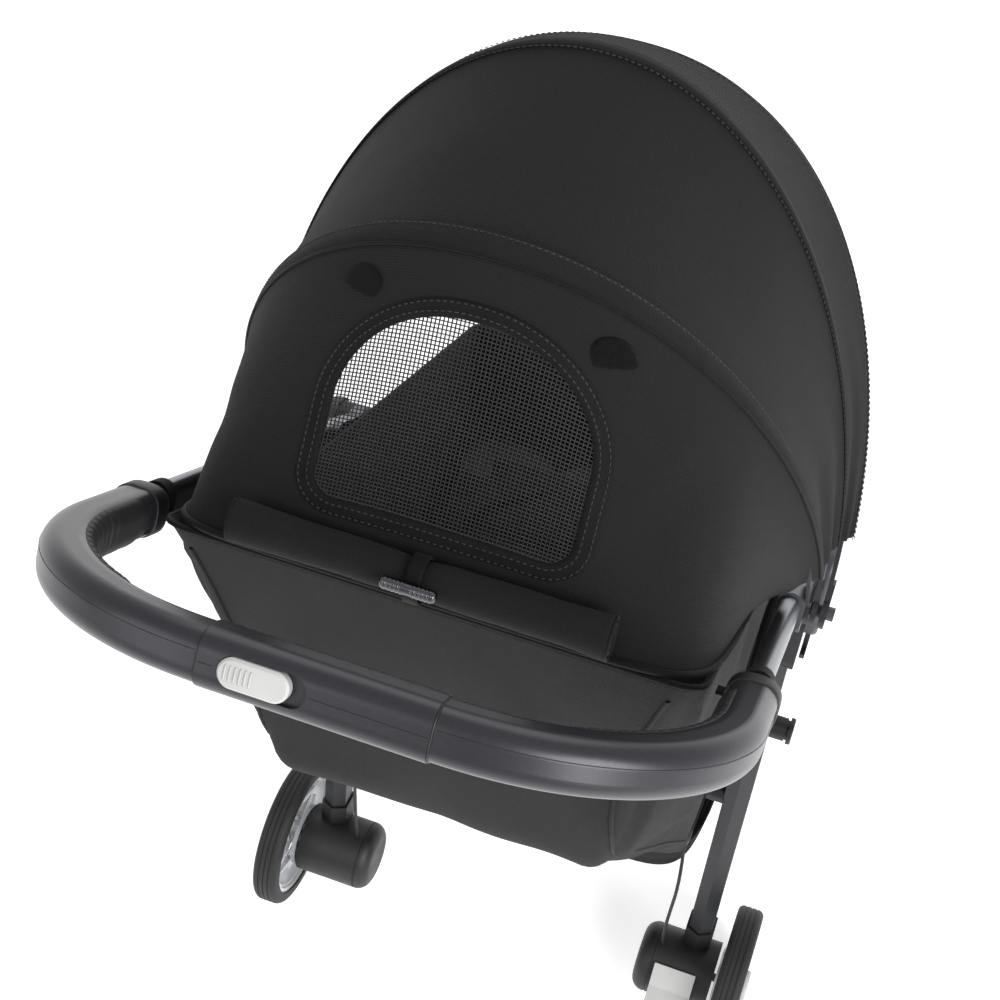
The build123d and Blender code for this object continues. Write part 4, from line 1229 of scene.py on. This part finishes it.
def make_cushion(context):
    """Cushion on the floor board, swollen by its filling, with sewn channels across it."""
    sizes = context.scene.stroller_sizes
    low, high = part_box("cabin_cushion")
    shrink = Vector((4, 4, 0)) * MM
    cushion = rounded_box("cabin_cushion_pad", low + shrink, high - shrink - Vector((0, 0, 6 * MM)),
                          0.030, "lining")
    remesh(cushion, 6 * MM)
    stuff(cushion, sizes.cushion_cap)
    floor = low.z
    middle = (low + high) / 2
    half = (high - low) / 2
    for vertex in cushion.data.vertices:
        x, y, z = vertex.co
        z = max(z, floor)
        channel = abs(math.sin((y - middle.y) / half.y * math.pi * 1.5 + math.pi / 2))
        sewn = math.exp(-(channel / 0.16) ** 2)
        if z > middle.z:
            z -= 6 * MM * sewn
            z += 1.4 * MM * fold_noise((x, y, 0), 0.05, 12)
        vertex.co = (min(max(x, low.x), high.x), min(max(y, low.y), high.y), min(z, high.z + 3 * MM))
    level = cushion.modifiers.new("Smooth", "SUBSURF")
    level.levels = level.render_levels = 1
    bake(cushion)
    add_flat_uv(cushion)
    place(cushion, "frame", "liner_fabric", "cabin_cushion")


def add_flat_uv(piece):
    """UV map in metres, seen from above."""
    uv = piece.data.uv_layers.new(name="UVMap")
    spots = [piece.data.vertices[l.vertex_index].co for l in piece.data.loops]
    uv.data.foreach_set("uv", np.array([(p.x + 0.7 * p.z, p.y + 0.7 * p.z) for p in spots]).ravel())


def flat_strap(name, line, ups, width, thick, finish, body):
    """Webbing strap along a line of points, flat to its up directions."""
    line, ups = np.asarray(line, float), np.asarray(ups, float)
    tangent = np.gradient(line, axis=0)
    tangent /= np.linalg.norm(tangent, axis=1, keepdims=True)
    across = np.cross(tangent, ups)
    across /= np.linalg.norm(across, axis=1, keepdims=True)
    rows = []
    for a, b in ((-0.5, -0.3), (-0.5, 0.3), (-0.25, 0.5), (0.25, 0.5), (0.5, 0.3), (0.5, -0.3), (0.25, -0.5),
                 (-0.25, -0.5)):
        rows.append(line + across * width * a + ups * thick * b)
    strap = grid_piece(name, rows, finish, loop_rows=True)
    cap_ends(strap)
    return place(strap, body, "liner_fabric")


def make_tether():
    """A webbing tether and three harness loops that lie on the cushion in loose curves."""
    low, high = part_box("safety_tether")
    top = low.z + 3.5 * MM
    middle = (low + high) / 2
    line = []
    for s in np.linspace(0, 1, 70):
        line.append((middle.x + 0.06 * math.sin(s * 5.4), low.y + (high.y - low.y) * s,
                     top + 5 * MM * math.sin(s * 7) ** 2))
    strap = flat_strap("tether_strap", line, [(0, 0, 1)] * len(line), 20 * MM, 1.8 * MM, "tape", "frame")
    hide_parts("safety_tether")
    arcs = [((-0.085, 0.035), 0.050, 20, 165), ((0.020, 0.060), 0.045, 10, 170),
            ((-0.030, -0.020), 0.055, 190, 330)]
    for k, ((x, y), radius, start, end) in enumerate(arcs):
        line = [(x + radius * math.cos(math.radians(a)), HINGE.y + y + radius * math.sin(math.radians(a)),
                 top + 12 * MM * math.sin(math.radians((a - start) / (end - start) * 180)))
                for a in np.linspace(start, end, 40)]
        flat_strap(f"harness_loop_{k + 1}", line, [(0, 0, 1)] * len(line), 16 * MM, 1.8 * MM, "tape", "frame")


# ---------------------------------------------------------------- basket
class STROLLER_OT_basket(bpy.types.Operator):
    """Hang the open cloth basket between the front legs and the rear legs."""
    bl_idname = "stroller.basket"
    bl_label = "Under basket"

    def execute(self, context):
        low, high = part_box("under_basket")
        middle, half = (low + high) / 2, (high - low) / 2
        rings = []
        depth = [(0.0, 0.0), (0.3, 0.0), (0.62, 0.0), (0.84, 0.02), (0.95, 0.09), (1.0, 0.22), (1.0, 0.45),
                 (1.0, 0.7), (1.0, 1.0)]
        profile = even([(out, rise * 0.35) for out, rise in depth], 44)
        for out, rise in profile:
            ring = []
            for a in np.linspace(0, 2 * math.pi, 161)[:-1]:
                c, s = math.cos(a), math.sin(a)
                corner = 0.24 if out > 0.8 else 0.34
                x = math.copysign(abs(c) ** corner, c) * half.x * out
                y = math.copysign(abs(s) ** corner, s) * half.y * out
                rim = (rise / 0.35) ** 3
                droop = 7 * MM * (1 - abs(math.cos(2 * a)) ** 0.5) * rim
                waist = -4 * MM * math.sin(math.pi * rise / 0.35) * (1 if out > 0.98 else 0)
                sag = 3 * MM * fold_noise((x, y, rise), 0.07, 14) * (1 - rim)
                size = math.hypot(x, y) or 1.0
                ring.append((middle.x + x * (1 + waist / size) + sag * (out > 0.9) * c,
                             middle.y + y * (1 + waist / size) + sag * (out > 0.9) * s,
                             low.z + 2 * MM + (rise / 0.35) * (high.z - low.z - 3 * MM) - droop
                             + max(0.0, sag) * (out <= 0.9)))
            rings.append(ring)
        basket = grid_piece("basket_cloth", rings[1:], "bag", loop_columns=True)
        cap_foot(basket, len(rings[1]))
        face_outward(basket, middle)
        thicken(basket, 2.0 * MM)
        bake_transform(basket)
        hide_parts("under_basket")
        binding = cord_along("basket_rim_binding", [rings[-1]], 2.4 * MM, "tape", closed=True)
        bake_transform(binding)
        make_basket_straps(rings[-1])
        return {"FINISHED"}


def cap_foot(piece, count):
    """Close the small hole in the middle of the basket's floor."""
    shape = bmesh.new()
    shape.from_mesh(piece.data)
    shape.verts.ensure_lookup_table()
    ring = [shape.verts[i] for i in range(count)]
    shape.faces.new(ring)
    bmesh.ops.recalc_face_normals(shape, faces=shape.faces)
    shape.to_mesh(piece.data)
    shape.free()


def face_outward(piece, middle):
    """Let an open shell's faces look away from its middle."""
    turn_outward(piece.data, Vector((middle.x, middle.y, middle.z + 0.04)))


def make_basket_straps(rim):
    """Webbing tabs that hang the basket's corners on the legs and cross tubes."""
    rim = np.array(rim)
    for side, name in ((1, "left"), (-1, "right")):
        for far, body, node in ((1, "rear_legs", "rear_cross_tube"), (-1, "frame", "front_cross_tube")):
            box_low, box_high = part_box(node)
            tube = (box_low + box_high) / 2
            corner = rim[np.argmax(rim[:, 0] * side * 0.9 + rim[:, 1] * far)]
            top = np.array((corner[0] * 0.93, tube.y, tube.z))
            line = even([corner, corner + (top - corner) * 0.5 + [0, 0, 0.01], top], 20)
            if np.linalg.norm(top - corner) < 0.13:
                label = f"basket_tab_{'rear' if far > 0 else 'front'}_{name}"
                flat_strap(label, line, [(0, 0.35 * far, 0.94)] * 20, 18 * MM, 1.6 * MM, "tape", body)


# ---------------------------------------------------------------- handlebar trims
CENTRE_HALF = 0.061
BEND_ONE = (0.140, 8.0)
BEND_TWO = (0.1278, 82.0)
GRIP_ARM = 0.0663


def grip_route(side, count=60):
    """Handlebar centreline on one side: points, inward directions, and the marks where its bends end."""
    spots, heading = [(CENTRE_HALF + 2 * MM, 0.0)], 0.0
    parts = [(BEND_ONE[0], BEND_ONE[1]), (BEND_TWO[0], BEND_TWO[1])]
    marks = [0]
    for radius, turn in parts:
        x, u = spots[-1]
        steps = count // 2
        for k in range(1, steps + 1):
            a = heading + math.radians(turn) * k / steps
            spots.append((x + radius * (math.sin(a) - math.sin(heading)),
                          u - radius * (math.cos(heading) - math.cos(a))))
        heading += math.radians(turn)
        marks.append(len(spots) - 1)
    x, u = spots[-1]
    for k in range(1, 25):
        spots.append((x + GRIP_ARM * math.cos(heading) * k / 24, u - GRIP_ARM * math.sin(heading) * k / 24))
    flat = np.array(spots)
    tangent = np.gradient(flat, axis=0)
    tangent /= np.linalg.norm(tangent, axis=1, keepdims=True)
    inward = np.stack([-tangent[:, 1] * -1, -tangent[:, 0]], axis=1)
    up = np.array(UP_SLOPE)

    def lift(pairs):
        return pairs[:, :1] * [side * 1.0, 0, 0] + pairs[:, 1:] * up

    points = np.array(HANDLE_CENTRE) + lift(flat)
    return points, lift(inward), marks


class STROLLER_OT_handlebar(bpy.types.Operator):
    """Wrap the grip pads, rib the slide button, and mark the handlebar's parting lines and end collars."""
    bl_idname = "stroller.handlebar"
    bl_label = "Handlebar trims"

    def execute(self, context):
        sizes = context.scene.stroller_sizes
        for side, name in ((1, "left"), (-1, "right")):
            points, inward, marks = grip_route(side)
            make_grip_skin(name, points, inward, marks, sizes.rib_step)
            make_collar(name, points, inward)
            make_parting(name, points, inward)
        make_centre_seams()
        make_button_ribs()
        return {"FINISHED"}


GRIP_HALF = 0.015
GRIP_ROUND = 0.011


def grip_ring(start, end, count):
    """Points of part of the grip's rounded-square section (inward, off slope), with outward directions."""
    spots, outs = [], []
    flat = GRIP_HALF - GRIP_ROUND
    for a in np.linspace(start, end, count):
        c, s = math.cos(math.radians(a)), math.sin(math.radians(a))
        reach = min(GRIP_HALF / max(abs(c), 1e-6), GRIP_HALF / max(abs(s), 1e-6))
        spot = np.array([c, s]) * reach
        corner = np.clip(spot, -flat, flat)
        out = spot - corner
        size = np.linalg.norm(out)
        if abs(spot[0]) > flat and abs(spot[1]) > flat:
            out /= size
        else:
            out = np.array([np.sign(c), 0.0]) if abs(spot[0]) > abs(spot[1]) else np.array([0.0, np.sign(s)])
        spots.append(corner + out * GRIP_ROUND if abs(spot[0]) > flat and abs(spot[1]) > flat else spot)
        outs.append(out)
    return np.array(spots), np.array(outs)


GRIP_SECTIONS = 260
SKIN_START = 42 * MM        # past the start of the second bend
SKIN_END = 20 * MM          # short of the grip's end
SKIN_ARC = (-112, 62)       # degrees round the section, from straight inward
SKIN_RIBS = 19


def make_grip_skin(name, points, inward, marks, step):
    """Rubber grip on the inner side of the bend, cut into soft ribs by cross grooves."""
    route = even(np.hstack([points, inward]), GRIP_SECTIONS)
    line, across = route[:, :3], route[:, 3:]
    across /= np.linalg.norm(across, axis=1, keepdims=True)
    along = np.concatenate([[0.0], np.cumsum(np.linalg.norm(np.diff(line, axis=0), axis=1))])
    bend = np.concatenate([[0.0], np.cumsum(np.linalg.norm(np.diff(points, axis=0), axis=1))])[marks[1]]
    first = int(np.searchsorted(along, bend + SKIN_START))
    last = int(np.searchsorted(along, along[-1] - SKIN_END))
    spots, outs = grip_ring(*SKIN_ARC, 33)
    off_slope = np.array(OFF_SLOPE)
    grid = []
    for i in range(first, last):
        phase = (along[i] - along[first]) / step
        groove = math.exp(-((phase - round(phase)) / 0.10) ** 2) if phase < SKIN_RIBS else 0.0
        end = min(1.0, (i - first) / 10, (last - 1 - i) / 3)
        ring = [line[i] + across[i] * spots[0][0] + off_slope * spots[0][1]]
        for k, (spot, out) in enumerate(zip(spots, outs)):
            edge = min(1.0, k / 2, (len(spots) - 1 - k) / 2)
            proud = (1.5 * MM * edge * math.sqrt(max(end, 0)) - 0.9 * MM * groove * edge) - 0.2 * MM
            at = spot + out * proud
            ring.append(line[i] + across[i] * at[0] + off_slope * at[1])
        ring.append(line[i] + across[i] * (spots[-1][0] - outs[-1][0] * MM)
                    + off_slope * (spots[-1][1] - outs[-1][1] * MM))
        for spot, out in list(zip(spots, outs))[::-4]:
            at = spot - out * 1.0 * MM
            ring.append(line[i] + across[i] * at[0] + off_slope * at[1])
        grid.append(ring)
    skin = grid_piece(f"grip_skin_{name}", grid, "grip", loop_columns=True)
    cap_ends(skin)
    place(skin, "handle", "grip_rubber", f"grip_pad_{name}")


def make_parting(name, points, inward):
    """Fine joint line between the grip's two half shells, on its outer side."""
    line = points - inward * (GRIP_HALF - 0.05 * MM) + np.array(OFF_SLOPE) * 5.0 * MM
    place(cord_along(f"grip_parting_{name}", [line], 0.28 * MM, "black", sides=6), "handle", "handle_plastic")


def make_centre_seams():
    """Dark joint rings at both ends of the centre section and the joint line along it."""
    spots = grip_ring(0, 360, 73)[0]
    up, off_slope = np.array(UP_SLOPE), np.array(OFF_SLOPE)
    rings = []
    for x in (-CENTRE_HALF, CENTRE_HALF):
        rings.append([np.array(HANDLE_CENTRE) + [x, 0, 0] + up * s[0] + off_slope * s[1] for s in spots[:-1]])
    seams = cord_along("centre_joint_rings", rings, 0.9 * MM, "black", closed=True, sides=6)
    place(seams, "handle", "handle_plastic")
    lines = []
    for face in (1, -1):
        spot = np.array(HANDLE_CENTRE) + up * face * 15.95 * MM
        stretches = ((-60, 1), (52, 60)) if face > 0 else ((-60, -33), (33, 60))
        for start, end in stretches:
            lines.append([spot + [x * MM, 0, 0] for x in np.linspace(start, end, 12)])
    place(cord_along("centre_joint_line", lines, 0.3 * MM, "black", sides=6), "handle", "handle_plastic")


# along the grip past its end, and half width, both in millimetres
COLLAR_PROFILE = ((-15.0, 15.1), (-15.0, 15.7), (-14.0, 16.1), (-1.0, 16.2), (0.6, 15.6), (0.6, 10.0),
                  (0.5, 6.0))


def make_collar(name, points, inward):
    """Black end block where the grip shell ends over the tube."""
    end, back = points[-1], points[-8]
    along = (end - back) / np.linalg.norm(end - back)
    off = np.array(OFF_SLOPE)
    across = inward[-1]
    rows = []
    for step, half in COLLAR_PROFILE:
        ring = []
        for a in np.linspace(0, 2 * math.pi, 49)[:-1]:
            c, s = math.cos(a), math.sin(a)
            grown = half * MM
            ring.append(end + along * step * MM + across * grown * math.copysign(abs(c) ** 0.72, c)
                        + off * grown * math.copysign(abs(s) ** 0.72, s))
        rows.append(ring)
    collar = grid_piece(f"grip_collar_{name}", rows, "black", loop_columns=True)
    cap_ends(collar)
    place(collar, "handle", "black_plastic")


def make_button_ribs():
    """Thumb ribs across the end of the slide button."""
    low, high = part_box("slide_button")
    middle = (low + high) / 2
    top = np.array(HANDLE_CENTRE) + np.array(UP_SLOPE) * 18.0 * MM
    lines, ups = [], []
    line = [top * [0, 1, 1] + [x, 0, 0] for x in np.linspace(middle.x + 1 * MM, high.x - 4.5 * MM, 8)]
    lines.append(line)
    ups.append([np.array(UP_SLOPE)] * len(line))
    ribs = run_tree("button_ribs", row_tree(), lines, "pale",
                    {"Step": 2.4 * MM, "Size": (1.1 * MM, 9.5 * MM, 1.3 * MM), "Rounding": 0.3}, ups)
    place(ribs, "slide_button", "pale_plastic")


# ---------------------------------------------------------------- finishes, stage and camera
NODE_FINISHES = {
    "leg_paint": "legs", "tube_anodised": "tubes", "handle_plastic": "shell", "grip_rubber": "grip",
    "pale_plastic": "pale", "grey_plastic": "grey", "black_plastic": "black", "silver_rim": "rim",
    "black_tyre": "tyre", "pin_steel": "steel", "hoop_steel": "hoop", "charcoal_fabric": "canopy",
    "black_mesh": "net", "liner_fabric": "tape",
}


class STROLLER_OT_finishes(bpy.types.Operator):
    """Give every hard part of the frame its real finish."""
    bl_idname = "stroller.finishes"
    bl_label = "Hard finishes"

    def execute(self, context):
        make_finishes()
        for part in frame["record"]["subparts"]:
            node = frame["nodes"][part["node"]]
            node.data.materials.clear()
            node.data.materials.append(finishes[NODE_FINISHES[part["material_slot"]]])
        return {"FINISHED"}


class STROLLER_OT_stage(bpy.types.Operator):
    """Set the pale floor, the soft studio lights and the camera."""
    bl_idname = "stroller.stage"
    bl_label = "Stage"

    def execute(self, context):
        make_floor(context)
        make_lights(context)
        make_camera(context)
        return {"FINISHED"}


def make_floor(context):
    """A wide pale floor."""
    mesh = bpy.data.meshes.new("studio_floor")
    far = 12.0
    mesh.from_pydata([(-far, -far, 0), (far, -far, 0), (far, far, 0), (-far, far, 0)], [], [(0, 1, 2, 3)])
    floor = link("studio_floor", mesh)
    floor.location.z = cad_low.z - 0.5 * MM
    material, tree, shader = finish_of("painted_floor", tuple(context.scene.stroller_colours.floor), 0.75)
    vary(tree, shader, tuple(context.scene.stroller_colours.floor), 0.01, 0.4)
    shader.inputs["Emission Color"].default_value = (1, 1, 1, 1)
    shader.inputs["Emission Strength"].default_value = 0.42
    mesh.materials.append(material)


def make_lights(context):
    """Large soft lights above and around, and a pale sky."""
    for name, spot, size, power in (("key_light", (-1.8, 1.3, 1.9), 1.5, 62.0),
                                    ("fill_light", (1.5, 1.9, 2.2), 2.0, 22.0),
                                    ("back_light", (0.2, -2.6, 2.4), 2.4, 30.0)):
        light = bpy.data.lights.new(name, "AREA")
        light.energy, light.size = power, size
        lamp = bpy.data.objects.new(name, light)
        lamp.location = spot
        aim = Vector((0, 0.05, 0.6)) - lamp.location
        lamp.rotation_euler = aim.to_track_quat("-Z", "Y").to_euler()
        context.scene.collection.objects.link(lamp)
    world = bpy.data.worlds.new("pale_sky")
    world.use_nodes = True
    world.node_tree.nodes["Background"].inputs["Color"].default_value = (1, 1, 1, 1)
    world.node_tree.nodes["Background"].inputs["Strength"].default_value = 0.6
    context.scene.world = world
    context.scene.view_settings.view_transform = "Standard"


def make_camera(context):
    """Camera behind the stroller's right shoulder, looking steeply down past the handlebar."""
    rear_axle_y = Vector(joints["brake_pedal_press"]["pos_m"]).y
    yaw, pitch, roll = math.radians(22.54), math.radians(58.99), math.radians(-2.697)
    ahead = Vector((math.sin(yaw) * math.cos(pitch), -math.cos(yaw) * math.cos(pitch), -math.sin(pitch)))
    right = ahead.cross(Vector((0, 0, 1))).normalized()
    above = right.cross(ahead)
    side = right * math.cos(roll) + above * math.sin(roll)
    top = -right * math.sin(roll) + above * math.cos(roll)
    camera = bpy.data.cameras.new("studio_camera")
    camera.lens, camera.sensor_width = 63.14, 36.0
    view = bpy.data.objects.new("studio_camera", camera)
    view.matrix_world = Matrix((
        (side.x, top.x, -ahead.x, -0.22257), (side.y, top.y, -ahead.y, rear_axle_y + 0.50347),
        (side.z, top.z, -ahead.z, 1.76499), (0, 0, 0, 1)))
    context.scene.collection.objects.link(view)
    context.scene.camera = view


# ---------------------------------------------------------------- panel and registration
class STROLLER_PT_panel(bpy.types.Panel):
    """Lists the stroller's sizes, colours and building steps."""
    bl_idname = "STROLLER_PT_panel"
    bl_label = "Pet Stroller"
    bl_space_type = "VIEW_3D"
    bl_region_type = "UI"
    bl_category = "Stroller"

    def draw(self, context):
        for group in (context.scene.stroller_sizes, context.scene.stroller_colours):
            box = self.layout.box()
            for name in group.__annotations__:
                box.prop(group, name)
        for step in STEPS:
            self.layout.operator(step.bl_idname)


STEPS = (STROLLER_OT_finishes, STROLLER_OT_canopy, STROLLER_OT_window, STROLLER_OT_flap, STROLLER_OT_cabin,
         STROLLER_OT_cushion, STROLLER_OT_basket, STROLLER_OT_handlebar, STROLLER_OT_stage)
CLASSES = (StrollerSizes, StrollerColours) + STEPS + (STROLLER_PT_panel,)


def register():
    """Register the add-on's classes and its settings."""
    for kind in CLASSES:
        bpy.utils.register_class(kind)
    bpy.types.Scene.stroller_sizes = PointerProperty(type=StrollerSizes)
    bpy.types.Scene.stroller_colours = PointerProperty(type=StrollerColours)


def unregister():
    """Take the add-on's classes and settings away again."""
    del bpy.types.Scene.stroller_colours
    del bpy.types.Scene.stroller_sizes
    for kind in reversed(CLASSES):
        bpy.utils.unregister_class(kind)


def main():
    """Build every piece in order."""
    register()
    for step in STEPS:
        group, name = step.bl_idname.split(".")
        getattr(getattr(bpy.ops, group), name)()


if __name__ == "__main__":
    main()
